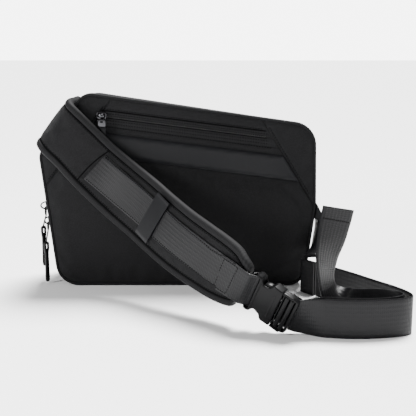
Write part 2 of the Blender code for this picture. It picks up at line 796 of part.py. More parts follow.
def make_slider(prefix, matrix, rise, base=0.4):
    """A slider body and the arch that its pull hangs from."""
    outline = [(-5.5, -2.6), (-3.5, -4.4), (4.0, -4.4), (5.5, -3.0), (5.5, 3.0), (4.0, 4.4),
               (-3.5, 4.4), (-5.5, 2.6)]
    top = base + SLIDER_THICK
    place_object(prefix + "_slider", move_mesh(plate_mesh(outline, base, top), matrix), "metal")
    stand = matrix @ Matrix.Translation((0, 0, top + GAP))
    place_object(prefix + "_slider_bridge", move_mesh(arch_mesh(BRIDGE_SPAN, rise, 1.7), stand),
                 "metal", smooth=True)


def make_front_slider():
    matrix = zip_matrix_front()
    make_slider("pocket", matrix, POCKET_BRIDGE_RISE)
    pivot = front_pivot()
    eye = loop_mesh(2.1, 2.1, 1.4)
    eye = move_mesh(eye, Matrix.Translation(pivot) @ Matrix.Rotation(math.radians(90), 4, "Z"))
    item = place_object("pocket_pull_eye", eye, "metal", smooth=True)
    set_origin(item, pivot)
    near = pivot.y - 0.8
    far = pivot.y + 0.8
    left = pivot.x - 4.4
    right = pivot.x + 4.4
    top = pivot.z - 3.1
    low = 185.4
    pull = [(left, low), (right, low), (right, top - 1.5), (right - 1.5, top), (left + 1.5, top),
            (left, top - 1.5)]
    item = place_object("pocket_pull", slab_mesh(pull, near, far), "metal")
    set_origin(item, pivot)
    tab = [(left + 0.3, low - GAP), (left + 0.3, low - GAP - 0.8), (right - 0.3, low - 9.2),
           (right - 0.3, low - GAP)]
    item = place_object("pocket_pull_tab", slab_mesh(tab, near + 0.1, far - 0.1), "trim")
    set_origin(item, pivot)


def front_pivot():
    """Middle of the pocket slider's arch, which the pull swings about."""
    reach = 0.4 + SLIDER_THICK + GAP + POCKET_BRIDGE_RISE
    return zip_matrix_front() @ Vector((0.8, 0, reach))


def make_side_pull(prefix, slider_height, rise, layer, depth, top, tip):
    """A wire ring through the slider's arch, a flat link and a long moulded pull."""
    matrix = zip_matrix_side(slider_height)
    make_slider(prefix, matrix, rise)
    pivot = side_pivot(slider_height)
    ring_centre = pivot - Vector((0, 0, 2.55))
    ring = loop_mesh(2.9, 4.6, 1.4)
    stand = Matrix.Translation(ring_centre) @ Matrix.Rotation(math.radians(90), 4, "Z")
    item = place_object(prefix + "_pull_ring", move_mesh(ring, stand), "metal", smooth=True)
    set_origin(item, pivot)
    start = ring_centre.z - 4.6 - 0.7 - 3 * GAP
    middle = (ZIP_COIL[0] + ZIP_COIL[1]) / 2
    aside = middle + (depth - middle) * 0.2
    stations = [(Vector((ring_centre.x, aside, start)), Vector((0, 1, 0))),
                (Vector((layer, depth, top + 4 * GAP)), Vector((0, 1, 0)))]
    link = ribbon_mesh(frames_along(stations), even(-1.3, 1.3), even(-0.6, 0.6))
    item = place_object(prefix + "_pull_link", link, "metal")
    set_origin(item, pivot)
    outline = [(-1.6, 0), (1.6, 0), (3.3, -2), (3.3, -9), (2.5, -13), (2.6, tip - top + 4),
               (1.6, tip - top), (-1.6, tip - top), (-2.6, tip - top + 4), (-2.5, -13),
               (-3.3, -9), (-3.3, -2)]
    hole = [(-1.5, -3), (1.5, -3), (1.5, -9), (-1.5, -9)]
    turn = Matrix(((0, 0, 1, layer), (1, 0, 0, depth), (0, 1, 0, top), (0, 0, 0, 1)))
    shape = move_mesh(plate_mesh(outline, -1.5, 1.5, hole), turn)
    item = place_object(prefix + "_pull", shape, "trim")
    set_origin(item, pivot)


def side_pivot(slider_height):
    """Where the pull's ring hangs on the lower foot of the slider's arch."""
    return zip_matrix_side(slider_height) @ Vector((-BRIDGE_SPAN / 2, 0, 0.4 + SLIDER_THICK + 1.6))


def build():
    clear_scene()
    make_shell()
    make_main_zip()
    make_front()
    make_sleeve()
    make_pad()
    make_buckle()
    make_strap()
    make_side_web()
    make_front_slider()
    make_side_pull("upper", UPPER_SLIDER, 6.4, -158, -13, 66.5, 17.8)
    make_side_pull("lower", LOWER_SLIDER, 4.7, -152.5, -26.6, 50.7, 2.3)


build()
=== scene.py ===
"""Sling bag: fabric, webbing, zips and buckle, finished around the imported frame.

Sizes are in metres. +X right, +Y towards the back panel, +Z up, as in the frame."""
import math

import bmesh
import bpy
from mathutils import Matrix, Vector, noise
from mathutils.bvhtree import BVHTree


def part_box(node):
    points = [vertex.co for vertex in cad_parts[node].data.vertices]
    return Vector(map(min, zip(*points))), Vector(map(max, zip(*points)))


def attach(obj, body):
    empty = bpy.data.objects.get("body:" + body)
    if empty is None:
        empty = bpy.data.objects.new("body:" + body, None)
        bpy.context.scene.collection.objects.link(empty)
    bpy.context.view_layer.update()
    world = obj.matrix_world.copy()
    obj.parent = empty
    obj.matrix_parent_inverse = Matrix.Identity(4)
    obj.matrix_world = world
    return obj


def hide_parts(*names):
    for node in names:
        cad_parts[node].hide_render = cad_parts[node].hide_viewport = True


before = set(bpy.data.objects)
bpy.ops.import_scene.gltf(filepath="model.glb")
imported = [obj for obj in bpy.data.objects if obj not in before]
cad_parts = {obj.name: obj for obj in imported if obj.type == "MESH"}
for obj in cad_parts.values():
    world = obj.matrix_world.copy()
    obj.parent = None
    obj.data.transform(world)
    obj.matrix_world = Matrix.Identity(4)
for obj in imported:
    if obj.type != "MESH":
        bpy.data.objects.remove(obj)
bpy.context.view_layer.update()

bl_info = {
    "name": "Sling bag",
    "version": (1, 0, 0),
    "blender": (4, 5, 0),
    "location": "3D View > Sidebar > Sling bag",
    "description": "Finishes a sling bag's fabric, webbing, zips and buckle around its frame",
    "category": "Object",
}

MM = 0.001
BODY = "bag"

# Body outline from the front, in millimetres: sharp corners (x, z) and each corner's radius.
# FALL is the slope of the front's lines; each line's height is taken at x = 0.
OUTLINE = [(-138, 0, 27), (-156, 154, 16), (-103, 223.6, 20), (158, 187, 27), (160, 92, 60),
           (148, 0, 22)]
CORNER_STEPS = 12
PIPING = 3.0
FRONT_Y = -37.0
BACK_Y = 36.0
FALL = -0.128
FLAP_LINE = 193.0
COIL_LINE = 185.8
TAPE_LINE = 176.0
BAND_TOP = 167.0
BAND_BOTTOM = 140.5
TEETH_ENDS = (-85, 101)
ZIP_DEPTH = -22.0
ZIP_START_HEIGHT = 66
ZIP_END_HEIGHT = 160
OTHER_SIDE = 100
OUTLINE_MIDDLE = 105.0
THREAD_DEPTH = -40.0
LEFT_SEAM = ((-71, 217), (-153, 112))
RIGHT_SEAM = ((97, 193), (155, 98))

# Middle line of the shoulder pad, in millimetres: place, direction across, width.
PAD_ROUTE = [
    ((-135.6, 31, 190.2), (0.60, -0.05, 0.79), 62),
    ((-136, 10, 189.7), (0.60, -0.05, 0.79), 63),
    ((-136.2, -10, 189.4), (0.60, -0.07, 0.79), 64),
    ((-136.1, -24, 189.5), (0.60, -0.09, 0.79), 64),
    ((-135.5, -36, 189), (0.62, -0.11, 0.78), 64),
    ((-133.2, -43.5, 186), (0.65, -0.08, 0.75), 64),
    ((-128.2, -47.3, 180.8), (0.69, -0.03, 0.72), 64),
    ((-121.5, -48, 174.1), (0.70, 0.00, 0.71), 64),
    ((-111.7, -48.3, 164.3), (0.69, 0.01, 0.72), 64),
    ((-89, -51, 141), (0.66, 0.02, 0.75), 66),
    ((-61, -62.5, 118), (0.59, -0.05, 0.80), 69),
    ((-34, -84, 100), (0.52, -0.15, 0.84), 71),
    ((-15, -102, 87), (0.49, -0.21, 0.85), 72),
    ((7, -125, 74), (0.45, -0.27, 0.85), 73),
    ((28, -146, 64), (0.41, -0.31, 0.85), 73),
    ((44, -161, 57), (0.38, -0.34, 0.86), 72),
    ((60, -178, 51.4), (0.35, -0.37, 0.86), 66),
    ((67.2, -186.2, 48.5), (0.32, -0.39, 0.86), 56),
    ((73, -189.9, 45.4), (0.31, -0.40, 0.86), 42),
]
PAD_STEPS = 6
PAD_HALF_THICK = 4.3
CROSS_SEAM = 0.5
KEEPER_SPAN = (0.640, 0.692)
DOUBLED_FROM = 0.865

# Buckle: where the webbing's loop ends, and its two main directions.
BUCKLE_END = (77, -192, 43)
BUCKLE_ALONG = (0.775, -0.43, -0.465)
BUCKLE_ACROSS = (0.31, -0.40, 0.86)
FEMALE_LENGTH = 33.0
MALE_END = 50.0

# Webbing strap on the floor, seen from above, and the tail's free end.
WEB_HEIGHT = 19.3
STRAP_RUN = [(156, -79), (174, -98), (191, -122), (207, -147), (221, -168), (230, -186),
             (232, -199), (227, -206), (214, -212), (189, -216.5), (166, -216.3), (146, -213)]
TAIL_RUN = [(150, -206.5), (170, -210.5), (190, -211), (209, -207.5), (221, -201),
            (224, -192), (216, -183), (200, -178.5), (184, -179)]
RISER_ROUTE = [
    ((171, -180.5, 20.5), (0.10, 0.22, 0.97)),
    ((161, -181, 27), (0.30, 0.60, 0.74)),
    ((154.5, -180, 38), (0.36, 0.86, 0.36)),
    ((152, -176, 52), (0.48, 0.86, 0.16)),
    ((153, -171, 68), (0.68, 0.73, 0.02)),
    ((157.5, -167, 86), (0.82, 0.55, -0.14)),
    ((161.5, -164, 102), (0.84, 0.46, -0.28)),
    ((164.5, -163, 116), (0.82, 0.42, -0.38)),
]

# Swaps depth and height, so a plate drawn flat stands up and faces the front.
UPRIGHT = Matrix(((1, 0, 0, 0), (0, 0, 1, 0), (0, 1, 0, 0), (0, 0, 0, 1)))

# Where the pocket slider stands along the front, the heights of the two main-zip sliders, and
# how far their grips are turned out about the vertical, in degrees.
SLIDER_X = -83.0
UPPER_SLIDER = 93.0
LOWER_SLIDER = 75.0
GRIP_TWIST = -42

# The camera: its place in metres, how far it looks down in degrees, and its angle of view.
CAMERA_PLACE = (0.036, -0.936, 0.262)
CAMERA_DIP = 10.7
CAMERA_ANGLE = 2 * math.atan(208 / 800)


# ------------------------------------------------------------------ sizes and colours


class SlingBagSizes(bpy.types.PropertyGroup):
    web_width: bpy.props.FloatProperty(
        name="Webbing width", description="Width of every webbing strap",
        default=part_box("strap_turn")[1][2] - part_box("strap_turn")[0][2], min=0.01, unit="LENGTH")
    web_thickness: bpy.props.FloatProperty(
        name="Webbing thickness", description="Thickness of one layer of webbing",
        default=0.0015, min=0.0005, unit="LENGTH")
    binding_width: bpy.props.FloatProperty(
        name="Binding width", description="Width of the rolled binding round the shoulder pad",
        default=0.0085, min=0.002, unit="LENGTH")
    stitch_pitch: bpy.props.FloatProperty(
        name="Stitch pitch", description="Distance from one stitch to the next",
        default=0.0031, min=0.001, unit="LENGTH")
    panel_grid: bpy.props.FloatProperty(
        name="Panel grid", description="Spacing of the mesh that the fabric panels are made of",
        default=0.004, min=0.002, unit="LENGTH")


def colour_property(name, words, value):
    return bpy.props.FloatVectorProperty(name=name, description=words, default=value, size=3,
                                         min=0.0, max=1.0, subtype="COLOR")


class SlingBagColours(bpy.types.PropertyGroup):
    shell: colour_property("Shell", "Plain-weave outer fabric", (0.0055, 0.0055, 0.006))
    trim: colour_property("Trim", "Binding, piping and zip tape", (0.0065, 0.0065, 0.007))
    satin: colour_property("Satin", "Coated band and keeper", (0.0065, 0.0066, 0.0075))
    web: colour_property("Webbing", "Nylon webbing", (0.0055, 0.0055, 0.0062))
    lining: colour_property("Lining", "Lining and foam", (0.008, 0.008, 0.0085))
    plastic: colour_property("Plastic", "Moulded buckle and pulls", (0.0035, 0.0035, 0.0038))
    metal: colour_property("Metal", "Gunmetal sliders", (0.045, 0.045, 0.048))


# ------------------------------------------------------------------ node groups


def new_group(name, inputs, outputs):
    """An empty shader group with named sockets, and its two end nodes."""
    tree = bpy.data.node_groups.new(name, "ShaderNodeTree")
    for label, kind, value in inputs:
        socket = tree.interface.new_socket(name=label, in_out="INPUT", socket_type=kind)
        if value is not None:
            socket.default_value = value
    for label, kind in outputs:
        tree.interface.new_socket(name=label, in_out="OUTPUT", socket_type=kind)
    return tree, tree.nodes.new("NodeGroupInput"), tree.nodes.new("NodeGroupOutput")


def calc(tree, operation, first, second=None, third=None):
    """One Math node; each value is a number or an output socket."""
    made = tree.nodes.new("ShaderNodeMath")
    made.operation = operation
    for slot, value in zip(made.inputs, (first, second, third)):
        if value is None:
            continue
        if isinstance(value, (int, float)):
            slot.default_value = value
        else:
            tree.links.new(value, slot)
    return made.outputs[0]


def noise_at(tree, vector, scale, detail=2.0, roughness=0.5):
    made = tree.nodes.new("ShaderNodeTexNoise")
    made.inputs["Scale"].default_value = scale
    made.inputs["Detail"].default_value = detail
    made.inputs["Roughness"].default_value = roughness
    tree.links.new(vector, made.inputs["Vector"])
    return made.outputs[0]


def weave_group():
    """Plain weave in three directions: height of the threads, and a mask of the gaps."""
    tree, enter, leave = new_group(
        "Plain weave",
        [("Vector", "NodeSocketVector", None), ("Threads", "NodeSocketFloat", 9000.0)],
        [("Height", "NodeSocketFloat"), ("Gaps", "NodeSocketFloat")])
    apart = tree.nodes.new("ShaderNodeSeparateXYZ")
    tree.links.new(enter.outputs["Vector"], apart.inputs[0])
    waves = []
    for axis in range(3):
        turned = calc(tree, "MULTIPLY", apart.outputs[axis], enter.outputs["Threads"])
        waves.append(calc(tree, "SINE", turned))
    front = calc(tree, "MULTIPLY", waves[0], waves[2])
    side = calc(tree, "MULTIPLY", waves[1], waves[2])
    top = calc(tree, "MULTIPLY", waves[0], waves[1])
    total = calc(tree, "ADD", calc(tree, "ADD", front, side), top)
    slub = noise_at(tree, enter.outputs["Vector"], 900.0, 3.0)
    height = calc(tree, "ADD", calc(tree, "MULTIPLY", total, 0.35), slub)
    tree.links.new(height, leave.inputs["Height"])
    melange = calc(tree, "MULTIPLY_ADD", slub, 3.4, -1.2)
    gaps = calc(tree, "SUBTRACT", melange, calc(tree, "MULTIPLY", total, 0.3))
    tree.links.new(gaps, leave.inputs["Gaps"])
    return tree


def rib_group():
    """Webbing and tape: ribs across the run, read from a UV map in metres."""
    tree, enter, leave = new_group(
        "Web ribs", [("Vector", "NodeSocketVector", None), ("Ribs", "NodeSocketFloat", 3000.0),
                     ("Slant", "NodeSocketFloat", 0.6)],
        [("Height", "NodeSocketFloat"), ("Furrows", "NodeSocketFloat")])
    apart = tree.nodes.new("ShaderNodeSeparateXYZ")
    tree.links.new(enter.outputs["Vector"], apart.inputs[0])
    across = calc(tree, "MULTIPLY", apart.outputs[1], enter.outputs["Ribs"])
    zigzag = calc(tree, "PINGPONG", across, math.pi)
    along = calc(tree, "MULTIPLY", apart.outputs[0], enter.outputs["Ribs"])
    phase = calc(tree, "MULTIPLY_ADD", zigzag, enter.outputs["Slant"], along)
    rib = calc(tree, "SINE", phase)
    rows = calc(tree, "SINE", calc(tree, "MULTIPLY", across, 0.5))
    slub = noise_at(tree, enter.outputs["Vector"], 700.0, 3.0)
    height = calc(tree, "MULTIPLY_ADD", rows, 0.25, calc(tree, "MULTIPLY_ADD", rib, 0.35, slub))
    tree.links.new(height, leave.inputs["Height"])
    worn = calc(tree, "MULTIPLY_ADD", slub, 2.4, -0.7)
    tree.links.new(calc(tree, "MULTIPLY_ADD", rib, 0.5, worn), leave.inputs["Furrows"])
    return tree


def handling_group():
    """Soft patches of use and a little lint: a broad mask and a fine one."""
    tree, enter, leave = new_group(
        "Handling", [("Vector", "NodeSocketVector", None)],
        [("Patches", "NodeSocketFloat"), ("Lint", "NodeSocketFloat")])
    broad = noise_at(tree, enter.outputs["Vector"], 22.0, 4.0, 0.6)
    tree.links.new(broad, leave.inputs["Patches"])
    fine = noise_at(tree, enter.outputs["Vector"], 1400.0, 1.0)
    lint = calc(tree, "GREATER_THAN", fine, 0.73)
    tree.links.new(lint, leave.inputs["Lint"])
    return tree


def grain_group():
    """Fine moulded or blasted grain."""
    tree, enter, leave = new_group(
        "Moulded grain",
        [("Vector", "NodeSocketVector", None), ("Size", "NodeSocketFloat", 1800.0)],
        [("Height", "NodeSocketFloat"), ("Scuffs", "NodeSocketFloat")])
    made = tree.nodes.new("ShaderNodeTexNoise")
    made.inputs["Detail"].default_value = 3.0
    tree.links.new(enter.outputs["Vector"], made.inputs["Vector"])
    tree.links.new(enter.outputs["Size"], made.inputs["Scale"])
    tree.links.new(made.outputs[0], leave.inputs["Height"])
    scuffs = noise_at(tree, enter.outputs["Vector"], 90.0, 6.0, 0.7)
    tree.links.new(scuffs, leave.inputs["Scuffs"])
    return tree


GROUPS = {}
MATERIALS = {}


def group_in(tree, name, vector, **values):
    builders = {"weave": weave_group, "ribs": rib_group, "handling": handling_group,
                "grain": grain_group}
    if name not in GROUPS:
        GROUPS[name] = builders[name]()
    made = tree.nodes.new("ShaderNodeGroup")
    made.node_tree = GROUPS[name]
    tree.links.new(vector, made.inputs["Vector"])
    for label, value in values.items():
        made.inputs[label].default_value = value
    return made


def finish_material(name, colour, rough, surface, coords="Object", depth=0.0002, metallic=0.0,
                    sheen=0.0, lift=0.25, settings=None, specular=0.5):
    """A procedural finish: surface names the group that gives its relief."""
    made = bpy.data.materials.new(name)
    made.use_nodes = True
    tree = made.node_tree
    shader = tree.nodes["Principled BSDF"]
    places = tree.nodes.new("ShaderNodeTexCoord")
    vector = places.outputs[coords]
    relief = group_in(tree, surface, vector, **(settings or {}))
    handling = group_in(tree, "handling", places.outputs["Object"])
    tint = tree.nodes.new("ShaderNodeMix")
    tint.data_type = "RGBA"
    tint.inputs["A"].default_value = (*[c * (1 - lift) for c in colour], 1)
    tint.inputs["B"].default_value = (*[c * (1 + lift) for c in colour], 1)
    blend = calc(tree, "MULTIPLY_ADD", relief.outputs[1], 0.6, -0.1)
    blend = calc(tree, "MULTIPLY_ADD", handling.outputs["Patches"], 0.6, blend)
    tree.links.new(blend, tint.inputs["Factor"])
    dust = tree.nodes.new("ShaderNodeMix")
    dust.data_type = "RGBA"
    dust.inputs["B"].default_value = (*[min(1, c * 2.2 + 0.01) for c in colour], 1)
    tree.links.new(tint.outputs["Result"], dust.inputs["A"])
    tree.links.new(calc(tree, "MULTIPLY", handling.outputs["Lint"], 0.35), dust.inputs["Factor"])
    tree.links.new(dust.outputs["Result"], shader.inputs["Base Color"])
    spread = calc(tree, "MULTIPLY_ADD", handling.outputs["Patches"], 0.18, rough - 0.09)
    tree.links.new(spread, shader.inputs["Roughness"])
    bump = tree.nodes.new("ShaderNodeBump")
    bump.inputs["Distance"].default_value = depth
    bump.inputs["Strength"].default_value = 0.6
    tree.links.new(relief.outputs["Height"], bump.inputs["Height"])
    tree.links.new(bump.outputs["Normal"], shader.inputs["Normal"])
    shader.inputs["Metallic"].default_value = metallic
    shader.inputs["Specular IOR Level"].default_value = specular
    shader.inputs["Sheen Weight"].default_value = sheen
    shader.inputs["Sheen Roughness"].default_value = 0.5
    return made


def make_materials(colours):
    MATERIALS.update({
        "shell": finish_material("shell_weave", colours.shell, 0.8, "weave", depth=0.0002,
                                 sheen=0.02, specular=0.12, lift=0.45),
        "trim": finish_material("trim_ribbed", colours.trim, 0.7, "ribs", "UV", depth=0.00018,
                                sheen=0.0, specular=0.1, lift=0.4,
                                settings={"Ribs": 3000.0, "Slant": 0.0}),
        # Near-black stitching thread; the same material paints shade on the strips laid in the pad's
        # seams, under the flap edge and beside the pocket coil.
        "stitch": finish_material("thread_and_shade", [c * 0.25 for c in colours.trim], 0.7, "grain",
                                  depth=0.00005, specular=0.01),
        "satin": finish_material("coated_satin", colours.satin, 0.36, "grain", depth=0.00002,
                                 lift=0.08, specular=0.1, settings={"Size": 2500.0}),
        "web": finish_material("webbing_nylon", colours.web, 0.36, "ribs", "UV", depth=0.0003,
                               sheen=0.0, specular=0.15, lift=0.5),
        "lining": finish_material("lining_plain", colours.lining, 0.8, "weave", depth=0.0001,
                                  settings={"Threads": 11000.0}),
        "mesh": finish_material("air_mesh", colours.lining, 0.85, "weave", depth=0.0006,
                                sheen=0.05, settings={"Threads": 2400.0}),
        "plastic": finish_material("moulded_plastic", colours.plastic, 0.36, "grain",
                                   depth=0.00004, lift=0.1, specular=0.1),
        "coil": finish_material("zip_nylon", colours.trim, 0.45, "grain", depth=0.00003),
        "metal": finish_material("gunmetal", colours.metal, 0.22, "grain", depth=0.00002,
                                 metallic=1.0, lift=0.15, settings={"Size": 900.0}),
        "dark_metal": finish_material("blackened_metal", [c * 0.15 for c in colours.metal], 0.4,
                                      "grain", depth=0.00002, specular=0.15, lift=0.15,
                                      settings={"Size": 900.0}),
    })


# ------------------------------------------------------------------ mesh helpers


def deselect():
    bpy.ops.object.select_all(action="DESELECT")


def pick(item):
    deselect()
    item.select_set(True)
    bpy.context.view_layer.objects.active = item


def object_from(name, shape, closed=True):
    """Turns a bmesh written in millimetres into a scene object in metres."""
    bmesh.ops.scale(shape, vec=(MM, MM, MM), verts=shape.verts)
    if closed:
        bmesh.ops.recalc_face_normals(shape, faces=shape.faces)
    mesh = bpy.data.meshes.new(name)
    shape.to_mesh(mesh)
    shape.free()
    item = bpy.data.objects.new(name, mesh)
    bpy.context.scene.collection.objects.link(item)
    return item


def settle(item, finish, body=BODY, replaces=(), angle=40):
    """Gives a finished piece its material and body, and hides the nodes it stands for."""
    item.data.materials.clear()
    item.data.materials.append(MATERIALS[finish])
    pick(item)
    bpy.ops.object.shade_smooth_by_angle(angle=math.radians(angle))
    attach(item, body)
    if replaces:
        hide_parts(*replaces)
    return item


def finish_modifier(item, modifier):
    pick(item)
    bpy.ops.object.modifier_apply(modifier=modifier.name)


def bevelled(item, width, segments=3, angle=30):
    """Rounds a hard piece's edges; width in millimetres before it is scaled down."""
    made = item.modifiers.new("bevel", "BEVEL")
    made.width = width
    made.segments = segments
    made.limit_method = "ANGLE"
    made.angle_limit = math.radians(angle)
    finish_modifier(item, made)
    return item


def subdivided(item):
    made = item.modifiers.new("subdivide", "SUBSURF")
    made.levels = 1
    made.render_levels = 1
    finish_modifier(item, made)


def carved(item, tool):
    made = item.modifiers.new("carve", "BOOLEAN")
    made.operation = "DIFFERENCE"
    made.solver = "EXACT"
    made.object = tool
    finish_modifier(item, made)
    bpy.data.objects.remove(tool)
    return item


def joined(items):
    deselect()
    for item in items:
        item.select_set(True)
    bpy.context.view_layer.objects.active = items[0]
    bpy.ops.object.join()
    return items[0]


def faced_out(item):
    """Points every face outwards again after a mirrored placing."""
    pick(item)
    bpy.ops.object.mode_set(mode="EDIT")
    bpy.ops.mesh.select_all(action="SELECT")
    bpy.ops.mesh.normals_make_consistent(inside=False)
    bpy.ops.object.mode_set(mode="OBJECT")


def prism(name, outline, low, high):
    """A plate in local XY between two heights, drawn out from a flat outline."""
    deselect()
    bpy.ops.mesh.primitive_circle_add(vertices=len(outline), fill_type="NGON")
    item = bpy.context.active_object
    item.name = name
    for vertex, (x, y) in zip(item.data.vertices, outline):
        vertex.co = (x, y, low)
    bpy.ops.object.mode_set(mode="EDIT")
    bpy.ops.mesh.select_all(action="SELECT")
    bpy.ops.mesh.extrude_region_move(TRANSFORM_OT_translate={"value": (0, 0, high - low)})
    bpy.ops.mesh.select_all(action="SELECT")
    bpy.ops.mesh.normals_make_consistent(inside=False)
    bpy.ops.object.mode_set(mode="OBJECT")
    return item


def block(name, low, high):
    deselect()
    middle = [(a + b) / 2 for a, b in zip(low, high)]
    bpy.ops.mesh.primitive_cube_add(size=1, location=middle)
    item = bpy.context.active_object
    item.name = name
    item.scale = [b - a for a, b in zip(low, high)]
    bpy.ops.object.transform_apply(location=True, rotation=True, scale=True)
    return item


def wire_ring(name, half_width, half_height, wire):
    """A round-wire oval ring in the local XZ plane."""
    deselect()
    bpy.ops.mesh.primitive_torus_add(major_segments=36, minor_segments=12, major_radius=1,
                                     minor_radius=wire / 2, rotation=(math.pi / 2, 0, 0))
    item = bpy.context.active_object
    item.name = name
    bpy.ops.object.transform_apply(location=True, rotation=True, scale=True)
    for vertex in item.data.vertices:
        flat = Vector((vertex.co.x, 0, vertex.co.z))
        core = flat.normalized()
        offset = vertex.co - core
        vertex.co = Vector((core.x * half_width, 0, core.z * half_height)) + offset
    return item


def in_place(item, matrix):
    """Carries a piece modelled in local millimetres to its place in metres."""
    item.data.transform(Matrix.Scale(MM, 4) @ matrix)
    item.data.update()
    return item


def skin(rings, runs, arounds, close_run=False):
    """A closed skin through rings of points, with a UV map in metres: along the run, then round."""
    shape = bmesh.new()
    uv = shape.loops.layers.uv.new("UVMap")
    grid = [[shape.verts.new(p) for p in ring] for ring in rings]
    count = len(rings[0])
    last = len(grid) if close_run else len(grid) - 1
    for i in range(last):
        j = (i + 1) % len(grid)
        for k in range(count):
            n = (k + 1) % count
            face = shape.faces.new((grid[i][k], grid[i][n], grid[j][n], grid[j][k]))
            places = ((i, k), (i, k + 1), (i + 1, k + 1), (i + 1, k))
            for loop, (a, b) in zip(face.loops, places):
                loop[uv].uv = (runs[a] * MM, arounds[b] * MM)
    if not close_run:
        shape.faces.new(grid[0])
        shape.faces.new(list(reversed(grid[-1])))
    return shape


def lengths(points, closed=False):
    """Running length at each point, with one more for the way back if closed."""
    total = [0.0]
    chain = list(points) + ([points[0]] if closed else [])
    for a, b in zip(chain, chain[1:]):
        total.append(total[-1] + (Vector(b) - Vector(a)).length)
    return total


def through(points, steps):
    """A smooth line through the points: each is a tuple of numbers, blended alike."""
    line = []
    last = len(points) - 1
    for i in range(last):
        p0 = points[max(i - 1, 0)]
        p1 = points[i]
        p2 = points[i + 1]
        p3 = points[min(i + 2, last)]
        for k in range(steps):
            t = k / steps
            line.append(tuple(
                0.5 * (2 * b + (c - a) * t + (2 * a - 5 * b + 4 * c - d) * t * t
                       + (3 * b - a - 3 * c + d) * t ** 3)
                for a, b, c, d in zip(p0, p1, p2, p3)))
    line.append(tuple(points[last]))
    return line


def frames_along(stations):
    """For stations (place, across): place, across and face direction, all square to the run."""
    result = []
    last = len(stations) - 1
    for i, (spot, across) in enumerate(stations):
        ahead = stations[min(i + 1, last)][0] - stations[max(i - 1, 0)][0]
        along = ahead.normalized()
        across = (across - along * across.dot(along)).normalized()
        result.append((spot, across, along.cross(across).normalized()))
    return result


def smooth_frames(stations, steps):
    """Frames on a smooth line through stations (place, across)."""
    flat = [(*place, *across) for place, across in stations]
    line = through(flat, steps)
    return frames_along([(Vector(s[0:3]), Vector(s[3:6])) for s in line])


def sweep(name, frames, section):
    """Carries a closed section of (across, depth) pairs along frames; section(i) at station i."""
    rings = []
    for i, (spot, across, face) in enumerate(frames):
        rings.append([spot + across * a + face * d for a, d in section(i)])
    middle = section(len(frames) // 2)
    rounds = lengths([(a, d, 0) for a, d in middle], closed=True)
    return object_from(name, skin(rings, lengths([f[0] for f in frames]), rounds))


def web_section(half, thick, lift=0.0, crown=0.0, cuts=12):
    """Section of flat webbing: nearly square edges, the face slightly crowned."""
    edge = thick * 0.45
    top = []
    for k in range(cuts + 1):
        a = -half + edge + (2 * half - 2 * edge) * k / cuts
        top.append((a, lift + thick / 2 + crown * (1 - (a / half) ** 2)))
    low = [(a, d - thick) for a, d in reversed(top)]
    return top + [(half, lift + thick * 0.2), (half, lift - thick * 0.2)] + low + [
        (-half, lift - thick * 0.2), (-half, lift + thick * 0.2)]


def webbing(name, frames, half, thick, lift=0.0, crown=0.0):
    shape = web_section(half, thick, lift, crown)
    return sweep(name, frames, lambda i: shape)


def spaced(points, pitch):
    """Places every pitch along a line of points, each with the direction there."""
    spots = []
    wait = pitch / 2
    for a, b in zip(points, points[1:]):
        step = b - a
        size = step.length
        if size == 0:
            continue
        while wait <= size:
            spots.append((a + step * (wait / size), step.normalized()))
            wait += pitch
        wait -= size
    return spots


def row_of(name, spots, size, sides=6):
    """Many small rounded bars as one mesh: each spot is (place, along, out); size is (length,
    width, height) in millimetres."""
    shape = bmesh.new()
    length, width, height = size
    for place, along, out in spots:
        side = along.cross(out).normalized()
        rings = []
        for share, swell in ((-0.5, 0.45), (-0.32, 1.0), (0.32, 1.0), (0.5, 0.45)):
            ring = []
            for k in range(sides):
                turn = 2 * math.pi * k / sides
                ring.append(shape.verts.new(
                    place + along * length * share
                    + side * math.cos(turn) * width / 2 * swell
                    + out * math.sin(turn) * height / 2 * swell))
            rings.append(ring)
        for first, second in zip(rings, rings[1:]):
            for k in range(sides):
                n = (k + 1) % sides
                shape.faces.new((first[k], first[n], second[n], second[k]))
        shape.faces.new(list(reversed(rings[0])))
        shape.faces.new(rings[-1])
    return object_from(name, shape)


class Surface:
    """Finished pieces that thread and trim are laid on."""

    def __init__(self, items):
        self.trees = []
        for item in items:
            points = [v.co / MM for v in item.data.vertices]
            faces = [tuple(p.vertices) for p in item.data.polygons]
            self.trees.append(BVHTree.FromPolygons(points, faces))

    def drop(self, place, direction, reach=30.0):
        """First point met from outside, coming along direction, and the face's outward normal."""
        start = place - direction * reach
        best = None
        for tree in self.trees:
            spot, normal, _, distance = tree.ray_cast(start, direction, reach * 2)
            if spot is not None and (best is None or distance < best[2]):
                best = (spot, normal, distance)
        return best


def sewn(name, line, surface, direction, pitch, size=(1.9, 1.0, 0.5)):
    """A row of stitches along a line, dropped onto a surface in the given direction."""
    spots = []
    for place, along in spaced(line, pitch):
        hit = surface.drop(place, direction)
        if hit is None:
            continue
        normal = hit[1] if hit[1].dot(direction) < 0 else -hit[1]
        flat = (along - normal * along.dot(normal)).normalized()
        spots.append((hit[0], flat, normal))
    return row_of(name, spots, size)


# ------------------------------------------------------------------ body


def inset_corners(corners, distance):
    """The same rounded polygon, drawn in by distance on every side."""
    count = len(corners)
    moved = []
    for i in range(count):
        before = Vector(corners[i - 1][:2])
        here = Vector(corners[i][:2])
        after = Vector(corners[(i + 1) % count][:2])
        edge_in = (here - before).normalized()
        edge_out = (after - here).normalized()
        normal_in = Vector((edge_in.y, -edge_in.x))
        normal_out = Vector((edge_out.y, -edge_out.x))
        miter = (normal_in + normal_out) / (1 + normal_in.dot(normal_out))
        spot = here + miter * distance
        moved.append((spot.x, spot.y, max(corners[i][2] - distance, 1.0)))
    return moved


